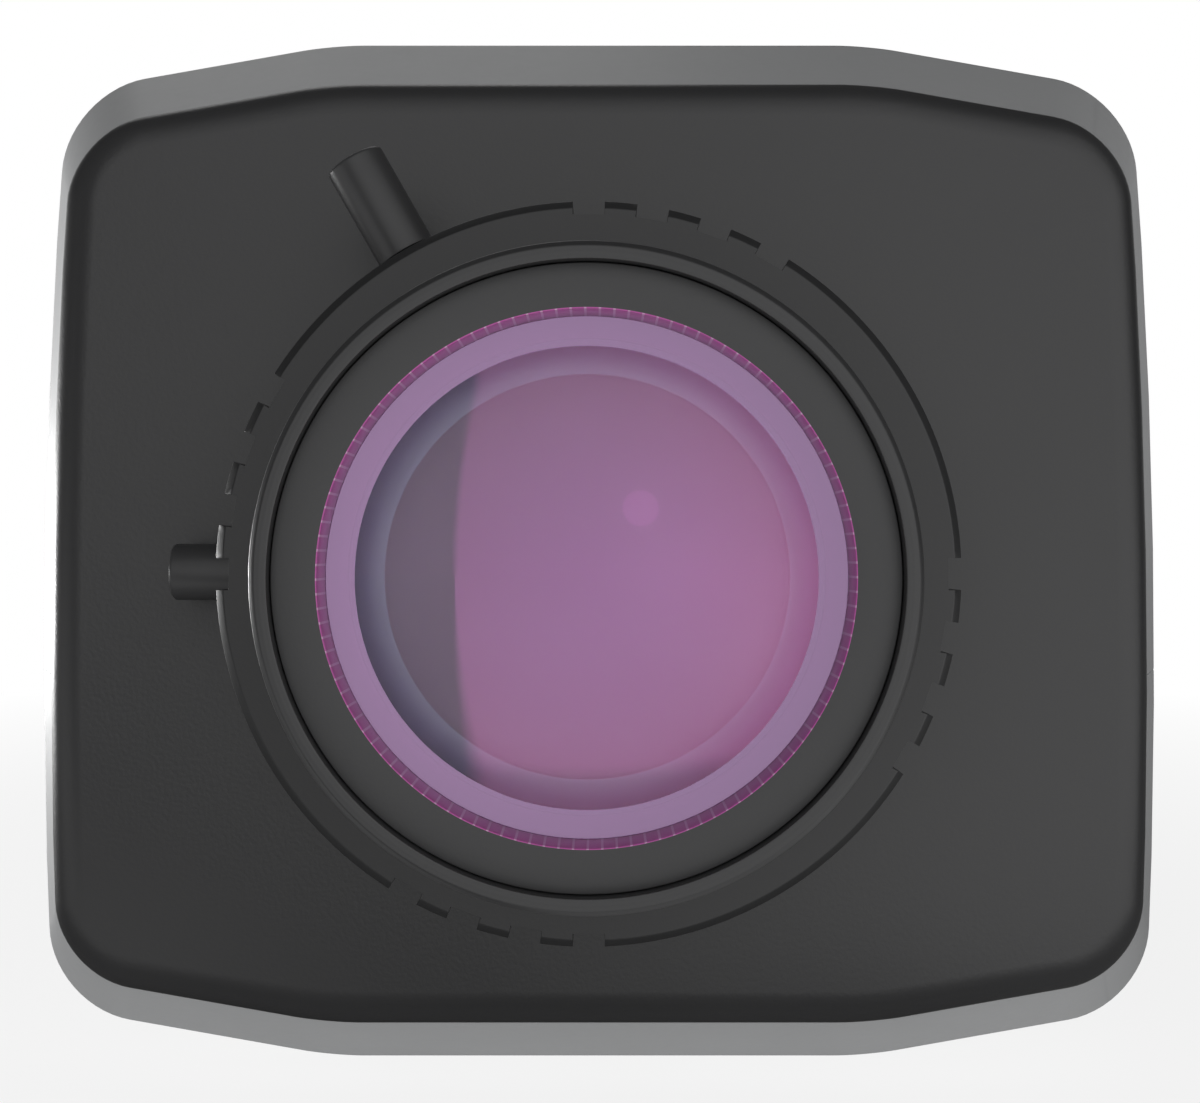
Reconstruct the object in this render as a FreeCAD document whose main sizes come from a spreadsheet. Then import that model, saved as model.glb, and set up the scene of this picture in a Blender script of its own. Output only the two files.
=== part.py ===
"""A network box camera: two-part metal housing, dark front cap and a manual zoom lens.

Lengths are in millimetres. X is to the right as the lens is faced, Y runs to the back and Z is up. The
origin is the mouth of the tripod thread, in the middle of the flat underside.
"""
import FreeCAD, Part
import math
import os
import re
from dataclasses import dataclass, replace

import Sketcher

# Driving sizes

SIZES = {
    # Housing shells
    "housing_width": 75.0,
    "housing_height": 68.4,
    "housing_length": 118.0,
    "housing_wall": 2.5,
    "flat_width": 36.0,
    "shoulder_angle": 10.0,
    "shoulder_blend": 24.0,
    "corner_radius": 6.3,
    "side_radius": 489.0,
    "widest_height": 26.2,
    # Flared nose round the front cap
    "nose_length": 8.0,
    "nose_side_inset": 3.0,
    "nose_top_inset": 4.85,
    "nose_bottom_inset": 4.45,
    "nose_flat_width": 34.2,
    "nose_corner_radius": 5.6,
    "nose_side_radius": 468.0,
    "nose_wall": 2.2,
    "nose_cavity_overlap": 3.0,
    # Columns that the case screws join
    "case_post_radius": 4.0,
    "case_post_x": 26.0,
    "case_post_front": 28.0,
    "case_post_rear": 30.0,
    "case_screw_radius": 1.5,
    "case_screw_head_radius": 2.7,
    "case_screw_head_height": 2.2,
    "case_screw_seat": 12.0,
    "case_screw_grip": 9.0,
    "screw_clearance": 0.2,
    # Tripod thread
    "tripod_thread_radius": 3.175,
    "tripod_thread_depth": 6.0,
    "tripod_insert_radius": 5.0,
    "tripod_insert_length": 7.5,
    "tripod_boss_radius": 8.0,
    "tripod_boss_height": 9.5,
    "seat_clearance": 0.02,
    # Front cap
    "cap_proud": 2.0,
    "cap_edge_radius": 1.9,
    "cap_thickness": 2.9,
    "cap_skirt_length": 5.0,
    "cap_skirt_wall": 1.8,
    "cap_clearance": 0.2,
    "lens_hole_gap": 0.8,
    # Lens axis and the sensor plane behind the cap's face
    "lens_axis_x": -0.57,
    "lens_axis_height": 32.9,
    "sensor_depth": 23.5,
    # Lens base barrel, measured forward from the sensor plane
    "flange_focal": 12.5,
    "mount_thread_radius": 12.7,
    "mount_thread_length": 4.0,
    "mount_flange_radius": 15.5,
    "mount_flange_thickness": 2.0,
    "barrel_radius": 17.0,
    "barrel_shoulder": 1.5,
    "ring_seat_radius": 16.55,
    "sleeve_wall": 0.9,
    "sleeve_floor": 26.0,
    "rear_bore_radius": 11.2,
    "running_fit": 0.05,
    "sliding_gap": 0.3,
    # Zoom and focus rings
    "cap_to_zoom_ring": 0.5,
    "zoom_ring_length": 4.5,
    "zoom_ring_radius": 18.5,
    "ring_gap": 0.5,
    "focus_ring_length": 8.5,
    "focus_ring_radius": 20.4,
    "ring_chamfer": 0.5,
    "notch_depth": 0.9,
    "notch_angle": 5.0,
    "notch_pitch": 10.0,
    "focus_grip_angle": 75.0,
    "zoom_grip_turn": 45.0,
    # Lock screws
    "lock_head_radius": 1.7,
    "lock_head_reach": 6.6,
    "lock_head_chamfer": 0.25,
    "lock_shank_radius": 1.1,
    "focus_lock_angle": 119.7,
    "focus_lock_place": 4.0,
    "zoom_lock_angle": 180.0,
    "zoom_lock_place": 2.5,
    # Front barrel and its optics
    "front_barrel_radius": 15.34,
    "front_barrel_length": 26.5,
    "lens_front": 54.5,
    "rim_width": 0.85,
    "rim_chamfer": 0.25,
    "rim_depth": 0.8,
    "name_ring_width": 2.16,
    "name_ring_thickness": 2.8,
    "front_glass_radius": 13.2,
    "front_glass_edge": 2.3,
    "front_glass_space": 2.6,
    "front_glass_crown": 1.5,
    "glass_step": 1.7,
    "glass_step_length": 2.0,
    "second_glass_edge": 2.4,
    "second_glass_gap": 0.5,
    "second_glass_crown": 1.8,
    "barrel_wall": 2.4,
    # Zoom cell, aperture and rear glass inside the base barrel
    "zoom_cell_place": 17.5,
    "zoom_cell_length": 6.0,
    "zoom_cell_wall": 1.8,
    "zoom_glass_edge": 3.4,
    "zoom_glass_crown": 1.2,
    "cell_lip": 0.8,
    "aperture_radius": 5.0,
    "aperture_place": 9.0,
    "aperture_length": 4.0,
    "rear_glass_radius": 8.0,
    "rear_glass_edge": 1.6,
    "rear_glass_crown": 0.6,
    # Sensor unit
    "mount_ring_flange_radius": 17.0,
    "mount_ring_spigot_wall": 1.2,
    "mount_ring_spigot_length": 1.6,
    "mount_ring_thickness": 2.7,
    "bracket_width": 42.0,
    "bracket_height": 40.0,
    "bracket_thickness": 7.0,
    "bracket_post_radius": 3.0,
    "bracket_post_x": 17.0,
    "bracket_screw_radius": 1.25,
    "bracket_screw_head_radius": 2.1,
    "bracket_screw_head_height": 2.0,
    "bracket_screw_seat": 7.0,
    "bracket_screw_grip": 6.0,
    "filter_width": 24.0,
    "filter_height": 13.0,
    "filter_thickness": 2.4,
    "filter_travel": 5.6,
    "filter_window": 10.0,
    "filter_cover_thickness": 0.5,
    "filter_cover_lap": 1.6,
    "filter_cover_radius": 7.0,
    "filter_glass_thickness": 1.2,
    "filter_motor_radius": 2.6,
    "filter_motor_length": 2.0,
    "filter_motor_drop": 14.0,
    "sensor_width": 9.0,
    "sensor_height": 7.0,
    "sensor_thickness": 1.0,
    "sensor_board_width": 36.0,
    "sensor_board_height": 36.0,
    "sensor_screw_inset": 2.8,
    "sensor_screw_radius": 1.0,
    "sensor_screw_head_radius": 1.9,
    "sensor_screw_head_height": 1.2,
    "sensor_screw_length": 5.0,
    "sensor_post_radius": 2.4,
    "board_thickness": 1.6,
    # Main board
    "main_board_width": 42.0,
    "main_board_front": 21.0,
    "main_board_rear": 38.0,
    "main_board_height": 13.0,
    "main_post_radius": 3.0,
    "main_post_inset": 3.2,
    "main_screw_radius": 1.2,
    "main_screw_head_radius": 2.2,
    "main_screw_head_height": 1.3,
    "main_screw_length": 6.0,
    "processor_width": 19.0,
    "processor_height": 2.2,
    "processor_place": 4.0,
    "heat_sink_width": 24.0,
    "heat_sink_base": 2.0,
    "heat_sink_height": 9.0,
    "fin_count": 7,
    "fin_thickness": 1.0,
    "memory_width": 9.0,
    "memory_length": 11.0,
    "memory_height": 1.1,
    "memory_gap": 2.0,
    "transformer_width": 15.0,
    "transformer_length": 13.0,
    "transformer_height": 9.0,
    "transformer_edge": 2.5,
    "capacitor_radius": 3.2,
    "capacitor_height": 9.5,
    "capacitor_pitch": 7.6,
    "connector_width": 22.0,
    "connector_depth": 3.0,
    "connector_height": 5.0,
    "ribbon_width": 14.0,
    "ribbon_thickness": 0.3,
    "ribbon_lug": 3.0,
    "ribbon_run": 5.0,
    "ribbon_landing": 2.0,
    # Rear panel and the board behind it
    "panel_recess": 2.0,
    "panel_thickness": 2.5,
    "panel_clearance": 0.15,
    "panel_boss_radius": 5.2,
    "panel_boss_length": 11.0,
    "panel_screw_inset_x": 7.6,
    "panel_screw_inset_z": 9.5,
    "panel_screw_radius": 1.4,
    "panel_screw_head_radius": 2.6,
    "panel_screw_head_height": 1.5,
    "panel_screw_length": 9.0,
    "panel_post_length": 12.0,
    "panel_post_radius": 2.5,
    "io_board_width": 48.0,
    "io_board_low": 10.0,
    "io_board_margin": 3.5,
    "io_post_x": 21.0,
    "io_post_over_jack": 3.25,
    "io_post_over_audio": 5.0,
    "io_screw_radius": 1.1,
    "io_screw_head_radius": 2.0,
    "io_screw_head_height": 1.3,
    "io_screw_length": 6.0,
    "cutout_clearance": 0.2,
    "connector_proud": 0.5,
    # Rear connectors
    "jack_x": -14.0,
    "jack_height_at": 19.0,
    "jack_width": 16.0,
    "jack_height": 13.5,
    "plug_width": 11.8,
    "plug_height": 8.4,
    "plug_depth": 12.0,
    "latch_width": 6.2,
    "latch_height": 2.4,
    "contact_width": 0.5,
    "contact_pitch": 1.02,
    "contact_count": 8,
    "contact_height": 0.9,
    "contact_length": 7.0,
    "terminal_height_at": 17.5,
    "terminal_height": 8.0,
    "terminal_wall": 0.8,
    "terminal_depth": 9.0,
    "power_x": 2.5,
    "power_width": 9.0,
    "io_x": 16.2,
    "io_width": 15.0,
    "terminal_pitch": 3.5,
    "pin_width": 1.0,
    "pin_length": 7.0,
    "audio_over_jack": 19.5,
    "audio_in_x": -16.5,
    "audio_out_x": -6.0,
    "audio_body_width": 8.0,
    "audio_body_depth": 9.5,
    "audio_collar_radius": 3.1,
    "audio_bore_radius": 1.8,
    "audio_bore_depth": 13.0,
    "card_x": 7.5,
    "card_width": 14.6,
    "card_height": 3.2,
    "card_slot_width": 11.6,
    "card_slot_height": 1.2,
    "card_slot_depth": 12.0,
    "button_x": 20.0,
    "button_under_audio": 1.5,
    "button_radius": 1.9,
    "button_flange_radius": 2.7,
    "button_flange_thickness": 1.0,
    "button_flange_gap": 0.6,
    "button_proud": 0.4,
    "switch_width": 6.0,
    "switch_depth": 3.4,
    "switch_plunger_radius": 1.4,
    "switch_plunger_length": 1.5,
    "switch_gap": 0.7,
    "light_x": 20.0,
    "light_over_button": 5.6,
    "light_radius": 1.5,
    "light_flange_radius": 2.0,
    "light_proud": 0.3,
}

# Places worked out from the driving sizes

HALF_LENGTH = "housing_length / 2"
CAP_FACE = f"({HALF_LENGTH} + cap_proud)"
SENSOR_PLANE = f"({CAP_FACE} - sensor_depth)"
PANEL_FACE = f"({HALF_LENGTH} - panel_recess)"
PANEL_INNER = f"({PANEL_FACE} - panel_thickness)"
IO_BOARD_REAR = f"({PANEL_INNER} - panel_post_length)"
CONNECTOR_FACE = f"({PANEL_FACE} + connector_proud)"
CONNECTOR_LENGTH = f"({CONNECTOR_FACE} - {IO_BOARD_REAR})"
AUDIO_LEVEL = "(jack_height_at + audio_over_jack)"
IO_POST_LOW = "(jack_height_at + jack_height / 2 + io_post_over_jack)"
IO_POST_HIGH = f"({AUDIO_LEVEL} + audio_body_width / 2 + io_post_over_audio)"
IO_BOARD_TOP = f"({IO_POST_HIGH} + io_board_margin)"
BUTTON_LEVEL = f"({AUDIO_LEVEL} - button_under_audio)"
LIGHT_LEVEL = f"({BUTTON_LEVEL} + light_over_button)"
PANEL_SCREW_X = "(housing_width / 2 - panel_screw_inset_x)"
PANEL_SCREW_TOP = "(housing_height - panel_screw_inset_z)"
ZOOM_RING_REAR = "(sensor_depth + cap_to_zoom_ring)"
FOCUS_RING_REAR = f"({ZOOM_RING_REAR} + zoom_ring_length + ring_gap)"
FOCUS_RING_FRONT = f"({FOCUS_RING_REAR} + focus_ring_length)"
SLEEVE_BORE = "(ring_seat_radius - sleeve_wall)"
RING_BORE = "(ring_seat_radius + running_fit)"
RIM_BORE = "(front_barrel_radius - rim_width)"
NAME_FACE = "(lens_front - rim_depth)"
NAME_REAR = f"({NAME_FACE} - name_ring_thickness)"
GLASS_SEAT = f"({NAME_REAR} - front_glass_space)"
STEP_REAR = f"({GLASS_SEAT} - glass_step_length)"
BARREL_BORE = "(front_barrel_radius - barrel_wall)"
ZOOM_CELL_RADIUS = "(rear_bore_radius - sliding_gap)"
BRACKET_FRONT = "(flange_focal - mount_ring_thickness)"
BRACKET_REAR = f"({BRACKET_FRONT} - bracket_thickness)"
BRACKET_FOOT = "(lens_axis_height - bracket_height / 2)"
BRACKET_MIDDLE = f"({SENSOR_PLANE} + ({BRACKET_FRONT} + {BRACKET_REAR}) / 2)"
BOARD_TOP = "(main_board_height + board_thickness)"
SHOULDER_RISE = "(case_post_x - flat_width / 2) * tan(shoulder_angle)"

UPRIGHT = "rotation(vector(1; 0; 0); 0)"
FORWARD = "rotation(vector(1; 0; 0); 90)"
FULL_TURN = 360
GRIP_GROUPS = 4
GRIP_NOTCHES = 4

doc = FreeCAD.newDocument("box_camera")
sheet = doc.addObject("Spreadsheet::Sheet", "Sizes")
sub_parts = []


def fill_sheet():
    """Write each driving size to the sheet as a number with its name as the alias."""
    for row, (name, number) in enumerate(SIZES.items(), start=1):
        sheet.set(f"A{row}", name)
        sheet.set(f"B{row}", str(number))
        sheet.setAlias(f"B{row}", name)
    doc.recompute()


def in_sheet(text):
    """Put the sheet's name before each driving size in an expression."""
    return re.sub(r"[a-z_]\w*", lambda word: f"Sizes.{word[0]}" if word[0] in SIZES else word[0], text)


def size(text):
    """Give the present value of an expression in driving sizes."""
    return float(sheet.evalExpression(in_sheet(text)))


def bind(thing, prop, text):
    """Tie a property to an expression in driving sizes."""
    thing.setExpression(prop, in_sheet(text))


# Sketches and features

def new_body(label, x="0", y="0", z="0", turn=FORWARD):
    """Start a sub-part. By default its own Z points to the front and its own Y points up."""
    body = doc.addObject("PartDesign::Body", label)
    body.Label = label
    bind(body, "Placement", f"placement(vector({x}; {y}; {z}); {turn})")
    sub_parts.append(body)
    return body


def new_sketch(body, name, plane="XY_Plane", offset="0"):
    """Start a sketch on one of a body's own planes, moved along that plane's normal."""
    sketch = body.newObject("Sketcher::SketchObject", f"{body.Name}_{name}")
    support = next(item for item in body.Origin.OriginFeatures if item.Role == plane)
    sketch.AttachmentSupport = (support, [""])
    sketch.MapMode = "FlatFace"
    bind(sketch, "AttachmentOffset.Base.z", offset)
    return sketch


def hold(sketch, kind, text, *places):
    """Add a dimension to a sketch and tie it to an expression."""
    number = sketch.addConstraint(Sketcher.Constraint(kind, *places, size(text)))
    name = f"size{number}"
    sketch.renameConstraint(number, name)
    bind(sketch, f"Constraints.{name}", text)


def pin_point(sketch, geometry, end, x, y):
    """Hold a point of a sketch at a place given by two expressions."""
    for text, kind, axis in ((x, "DistanceX", -2), (y, "DistanceY", -1)):
        if text == "0":
            sketch.addConstraint(Sketcher.Constraint("PointOnObject", geometry, end, axis))
        else:
            hold(sketch, kind, text, -1, 1, geometry, end)


def draw_polygon(sketch, corners):
    """Draw a closed outline of straight lines through corners given as pairs of expressions."""
    spots = [FreeCAD.Vector(size(x), size(y), 0) for x, y in corners]
    first = sketch.GeometryCount
    count = len(spots)
    for index, spot in enumerate(spots):
        sketch.addGeometry(Part.LineSegment(spot, spots[(index + 1) % count]), False)
    for index, (x, y) in enumerate(corners):
        following = first + (index + 1) % count
        sketch.addConstraint(Sketcher.Constraint("Coincident", first + index, 2, following, 1))
        pin_point(sketch, first + index, 1, x, y)


def draw_rectangle(sketch, x, y, width, height):
    """Draw a rectangle about a centre."""
    left, right = f"{x} - ({width}) / 2", f"{x} + ({width}) / 2"
    low, high = f"{y} - ({height}) / 2", f"{y} + ({height}) / 2"
    draw_polygon(sketch, [(left, low), (right, low), (right, high), (left, high)])


def draw_circles(sketch, places, radius):
    """Draw equal circles at centres given as pairs of expressions."""
    for x, y in places:
        centre = FreeCAD.Vector(size(x), size(y), 0)
        circle = sketch.addGeometry(Part.Circle(centre, FreeCAD.Vector(0, 0, 1), size(radius)), False)
        hold(sketch, "Radius", radius, circle)
        pin_point(sketch, circle, 3, x, y)


def pad(body, sketch, length, reverse=False):
    """Raise a sketch along its normal, or against it."""
    feature = body.newObject("PartDesign::Pad", f"{sketch.Name}_pad")
    feature.Profile = sketch
    feature.Reversed = reverse
    bind(feature, "Length", length)
    doc.recompute()
    return feature


def cut(body, sketch, depth, along=True):
    """Cut a sketch out of a body along its normal, or against it, and see that something went."""
    before = body.Shape.Volume
    feature = body.newObject("PartDesign::Pocket", f"{sketch.Name}_cut")
    feature.Profile = sketch
    feature.Reversed = along
    bind(feature, "Length", depth)
    doc.recompute()
    if feature.Shape.isNull() or feature.Shape.Volume >= before:
        raise RuntimeError(f"{feature.Name} cuts nothing")
    return feature


def turn_profile(body, profile):
    """Turn a profile of (radius, height) corners about a body's own Z axis."""
    sketch = new_sketch(body, "profile", "XZ_Plane")
    draw_polygon(sketch, profile)
    return revolve(body, sketch)


def revolve(body, sketch):
    """Turn a sketch through a full circle about its upright axis."""
    feature = body.newObject("PartDesign::Revolution", f"{body.Name}_turned")
    feature.Profile = sketch
    feature.ReferenceAxis = (sketch, ["V_Axis"])
    feature.Angle = FULL_TURN
    doc.recompute()
    return feature


def round_edges(body, base, radius, wanted):
    """Round each edge of a feature that the test picks out."""
    names = [f"Edge{index}" for index, edge in enumerate(base.Shape.Edges, start=1) if wanted(edge)]
    feature = body.newObject("PartDesign::Fillet", f"{base.Name}_round")
    feature.Base = (base, names)
    bind(feature, "Radius", radius)
    doc.recompute()
    return feature


# Cross-section of the housing

@dataclass(frozen=True)
class Outline:
    """A rounded section with flats above and below, sloping shoulders and bowed sides."""

    half_width: str
    bottom: str
    top: str
    half_flat: str
    corner: str
    bow: str
    widest: str
    blend: str

    def inset(self, depth):
        """Give the section moved inwards by a wall."""
        return replace(
            self,
            half_width=f"({self.half_width} - ({depth}))",
            bottom=f"({self.bottom} + ({depth}))",
            top=f"({self.top} - ({depth}))",
            half_flat=f"({self.half_flat} - ({depth}) * tan(shoulder_angle / 2))",
            corner=f"({self.corner} - ({depth}))",
            bow=f"({self.bow} - ({depth}))",
            blend=f"({self.blend} - ({depth}))",
        )


MAIN = Outline("(housing_width / 2)", "0", "housing_height", "(flat_width / 2)", "corner_radius",
               "side_radius", "widest_height", "shoulder_blend")
NOSE = Outline("(housing_width / 2 - nose_side_inset)", "nose_bottom_inset",
               "(housing_height - nose_top_inset)", "(nose_flat_width / 2)", "nose_corner_radius",
               "nose_side_radius", "widest_height", "shoulder_blend")


def corner_points(outline, upper):
    """Find the right-hand corner arc of a section: its ends and its centre.

    The corner lies inside the slope of the shoulder and inside the bow of the side, touching both.
    """
    slope = math.radians(size("shoulder_angle"))
    rise = -1 if upper else 1
    start = FreeCAD.Vector(size(outline.half_flat), size(outline.top if upper else outline.bottom), 0)
    along = FreeCAD.Vector(math.cos(slope), rise * math.sin(slope), 0)
    inward = FreeCAD.Vector(-math.sin(slope), rise * math.cos(slope), 0)
    corner, bow = size(outline.corner), size(outline.bow)
    side = FreeCAD.Vector(size(outline.half_width) - bow, size(outline.widest), 0)
    offset = start + inward * corner - side
    reach = offset.dot(along)
    travel = -reach + math.sqrt(reach ** 2 - offset.dot(offset) + (bow - corner) ** 2)
    centre = side + offset + along * travel
    outer = side + (centre - side).normalize() * bow
    return start + along * travel, outer, centre


def arc_between(centre, start, end):
    """Make an arc that runs anticlockwise from one point to another."""
    angles = [math.atan2(spot.y - centre.y, spot.x - centre.x) for spot in (start, end)]
    circle = Part.Circle(centre, FreeCAD.Vector(0, 0, 1), (start - centre).Length)
    return Part.ArcOfCircle(circle, *angles)


def draw_outline(sketch, outline):
    """Draw a section, anticlockwise from its lower flat, with every joint tangent."""
    slope = math.radians(size("shoulder_angle"))
    blend = size(outline.blend)
    flat_end = f"({outline.half_flat} - ({outline.blend}) * tan(shoulder_angle / 2))"
    blend_rise = f"({outline.blend}) * (1 - cos(shoulder_angle))"
    low, high = size(outline.bottom), size(outline.top)
    end = size(flat_end)
    run = blend * math.sin(slope)
    step = size(blend_rise)
    vector = FreeCAD.Vector
    low_in, low_out, low_centre = corner_points(outline, upper=False)
    high_in, high_out, high_centre = corner_points(outline, upper=True)
    side = vector(size(outline.half_width) - size(outline.bow), size(outline.widest), 0)
    low_flat, low_slope = vector(end, low, 0), vector(end + run, low + step, 0)
    high_flat, high_slope = vector(end, high, 0), vector(end + run, high - step, 0)

    def other(spot):
        """Give a point's image on the left."""
        return vector(-spot.x, spot.y, 0)

    pieces = [
        Part.LineSegment(other(low_flat), low_flat),
        arc_between(vector(end, low + blend, 0), low_flat, low_slope),
        Part.LineSegment(low_slope, low_in),
        arc_between(low_centre, low_in, low_out),
        arc_between(side, low_out, high_out),
        arc_between(high_centre, high_out, high_in),
        Part.LineSegment(high_in, high_slope),
        arc_between(vector(end, high - blend, 0), high_slope, high_flat),
        Part.LineSegment(high_flat, other(high_flat)),
        arc_between(vector(-end, high - blend, 0), other(high_flat), other(high_slope)),
        Part.LineSegment(other(high_slope), other(high_in)),
        arc_between(other(high_centre), other(high_in), other(high_out)),
        arc_between(other(side), other(high_out), other(low_out)),
        arc_between(other(low_centre), other(low_out), other(low_in)),
        Part.LineSegment(other(low_in), other(low_slope)),
        arc_between(vector(-end, low + blend, 0), other(low_slope), other(low_flat)),
    ]
    for piece in pieces:
        sketch.addGeometry(piece, False)
    (low_line, low_right, _, corner_low_right, side_right, corner_high_right, slope_right, high_right,
     high_line, high_left, slope_left, corner_high_left, side_left, corner_low_left, _,
     low_left) = range(len(pieces))
    for index in range(len(pieces)):
        sketch.addConstraint(Sketcher.Constraint("Tangent", index, 2, (index + 1) % len(pieces), 1))
    radii = {outline.blend: (low_right, high_right, high_left, low_left),
             outline.corner: (corner_low_right, corner_high_right, corner_high_left, corner_low_left),
             outline.bow: (side_right, side_left)}
    for radius, arcs in radii.items():
        for arc in arcs:
            hold(sketch, "Radius", radius, arc)
    for line, level in ((low_line, outline.bottom), (high_line, outline.top)):
        sketch.addConstraint(Sketcher.Constraint("Horizontal", line))
        sign = "" if line == low_line else "-"
        other_sign = "-" if line == low_line else ""
        pin_point(sketch, line, 1, f"{other_sign}{flat_end}", level)
        hold(sketch, "DistanceX", f"{sign}{flat_end}", -1, 1, line, 2)
    for arc, level, joint in ((low_right, f"{outline.bottom} + {blend_rise}", 2),
                              (low_left, f"{outline.bottom} + {blend_rise}", 1),
                              (high_right, f"{outline.top} - {blend_rise}", 1),
                              (high_left, f"{outline.top} - {blend_rise}", 2)):
        hold(sketch, "DistanceY", level, -1, 1, arc, joint)
    pin_point(sketch, side_right, 3, f"{outline.half_width} - ({outline.bow})", outline.widest)
    pin_point(sketch, side_left, 3, f"({outline.bow}) - {outline.half_width}", outline.widest)


# Housing

CASE_POSTS = [(f"{side}case_post_x", y) for side in ("", "-") for y in ("case_post_front", "-case_post_rear")]
PANEL_SCREWS_LOW = [(PANEL_SCREW_X, "panel_screw_inset_z"), (f"-{PANEL_SCREW_X}", "panel_screw_inset_z")]
PANEL_SCREWS_HIGH = [(PANEL_SCREW_X, PANEL_SCREW_TOP), (f"-{PANEL_SCREW_X}", PANEL_SCREW_TOP)]
BRACKET_POSTS = [(f"lens_axis_x + {side}bracket_post_x", BRACKET_MIDDLE) for side in ("", "-")]
MAIN_POST_X = "(main_board_width / 2 - main_post_inset)"
MAIN_POSTS = [(f"{side}{MAIN_POST_X}", y) for side in ("", "-")
              for y in ("main_board_front - main_post_inset", "-(main_board_rear - main_post_inset)")]
CENTRE = [("0", "0")]


def housing_shell(label, keep_low):
    """Cast one half of the housing: flared nose, walls, and bosses for the rear panel's screws."""
    body = new_body(label)
    rear = new_sketch(body, "rear", offset=f"-{HALF_LENGTH}")
    draw_outline(rear, MAIN)
    pad(body, rear, "housing_length - nose_length")
    shoulder = new_sketch(body, "shoulder", offset=f"{HALF_LENGTH} - nose_length")
    draw_outline(shoulder, MAIN)
    mouth = new_sketch(body, "mouth", offset=HALF_LENGTH)
    draw_outline(mouth, NOSE)
    flare = body.newObject("PartDesign::AdditiveLoft", f"{label}_flare")
    flare.Profile = shoulder
    flare.Sections = [mouth]
    flare.Ruled = True
    doc.recompute()
    cavity = new_sketch(body, "cavity", offset=f"-{HALF_LENGTH}")
    draw_outline(cavity, MAIN.inset("housing_wall"))
    cut(body, cavity, "housing_length - nose_length - nose_wall")
    opening = new_sketch(body, "opening", offset=HALF_LENGTH)
    draw_outline(opening, NOSE.inset("nose_wall"))
    cut(body, opening, "nose_length + nose_cavity_overlap", along=False)
    bosses = new_sketch(body, "bosses", offset=f"-{PANEL_INNER}")
    places = PANEL_SCREWS_LOW if keep_low else PANEL_SCREWS_HIGH
    draw_circles(bosses, places, "panel_boss_radius")
    pad(body, bosses, "panel_boss_length")
    rest = new_sketch(body, "other_half", offset=f"-{HALF_LENGTH} - housing_wall")
    far, near = ("housing_height + housing_wall", "widest_height")
    if not keep_low:
        far = "-housing_wall"
    draw_polygon(rest, [("-housing_width", near), ("housing_width", near), ("housing_width", far),
                        ("-housing_width", far)])
    cut(body, rest, "housing_length + housing_wall * 2")
    pilot = new_sketch(body, "pilot", offset=f"-{PANEL_INNER}")
    draw_circles(pilot, places, "panel_screw_radius + seat_clearance")
    cut(body, pilot, "panel_screw_length")
    return body


def posts(body, name, places, radius, top, foot):
    """Raise round posts from the floor to a level."""
    sketch = new_sketch(body, name, "XZ_Plane", f"-({top})")
    draw_circles(sketch, places, radius)
    return pad(body, sketch, f"{top} - ({foot})")


def bore_up(body, name, places, radius, depth, start="0"):
    """Bore round holes upwards from a level."""
    sketch = new_sketch(body, name, "XZ_Plane", f"-({start})")
    draw_circles(sketch, places, radius)
    return cut(body, sketch, depth, along=False)


def make_housing_base():
    """Make the lower shell, with posts for the boards and the counterbored screws from below."""
    body = housing_shell("housing_base", keep_low=True)
    shell_floor = "housing_wall / 2"
    posts(body, "case_posts", CASE_POSTS, "case_post_radius", "widest_height",
          f"{SHOULDER_RISE} + {shell_floor}")
    posts(body, "bracket_posts", BRACKET_POSTS, "bracket_post_radius", BRACKET_FOOT, shell_floor)
    posts(body, "board_posts", MAIN_POSTS, "main_post_radius", "main_board_height", shell_floor)
    posts(body, "tripod_boss", CENTRE, "tripod_boss_radius", "tripod_boss_height", shell_floor)
    bore_up(body, "tripod_bore", CENTRE, "tripod_insert_radius + seat_clearance", "tripod_insert_length")
    bore_up(body, "case_counterbore", CASE_POSTS, "case_screw_head_radius + screw_clearance",
            "case_screw_seat")
    bore_up(body, "case_hole", CASE_POSTS, "case_screw_radius + screw_clearance", "widest_height")
    bore_up(body, "bracket_counterbore", BRACKET_POSTS, "bracket_screw_head_radius + screw_clearance",
            "bracket_screw_seat")
    bore_up(body, "bracket_hole", BRACKET_POSTS, "bracket_screw_radius + seat_clearance", BRACKET_FOOT)
    pilots = new_sketch(body, "board_pilots", "XZ_Plane", "-main_board_height")
    draw_circles(pilots, MAIN_POSTS, "main_screw_radius + seat_clearance")
    cut(body, pilots, "main_screw_length - board_thickness")


def make_housing_top_cover():
    """Make the upper shell, with columns that take the case screws."""
    body = housing_shell("housing_top_cover", keep_low=False)
    roof = f"(housing_height - {SHOULDER_RISE} - housing_wall / 2)"
    posts(body, "case_posts", CASE_POSTS, "case_post_radius", roof, "widest_height")
    bore_up(body, "case_hole", CASE_POSTS, "case_screw_radius + seat_clearance", "case_screw_grip",
            start="widest_height")


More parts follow.
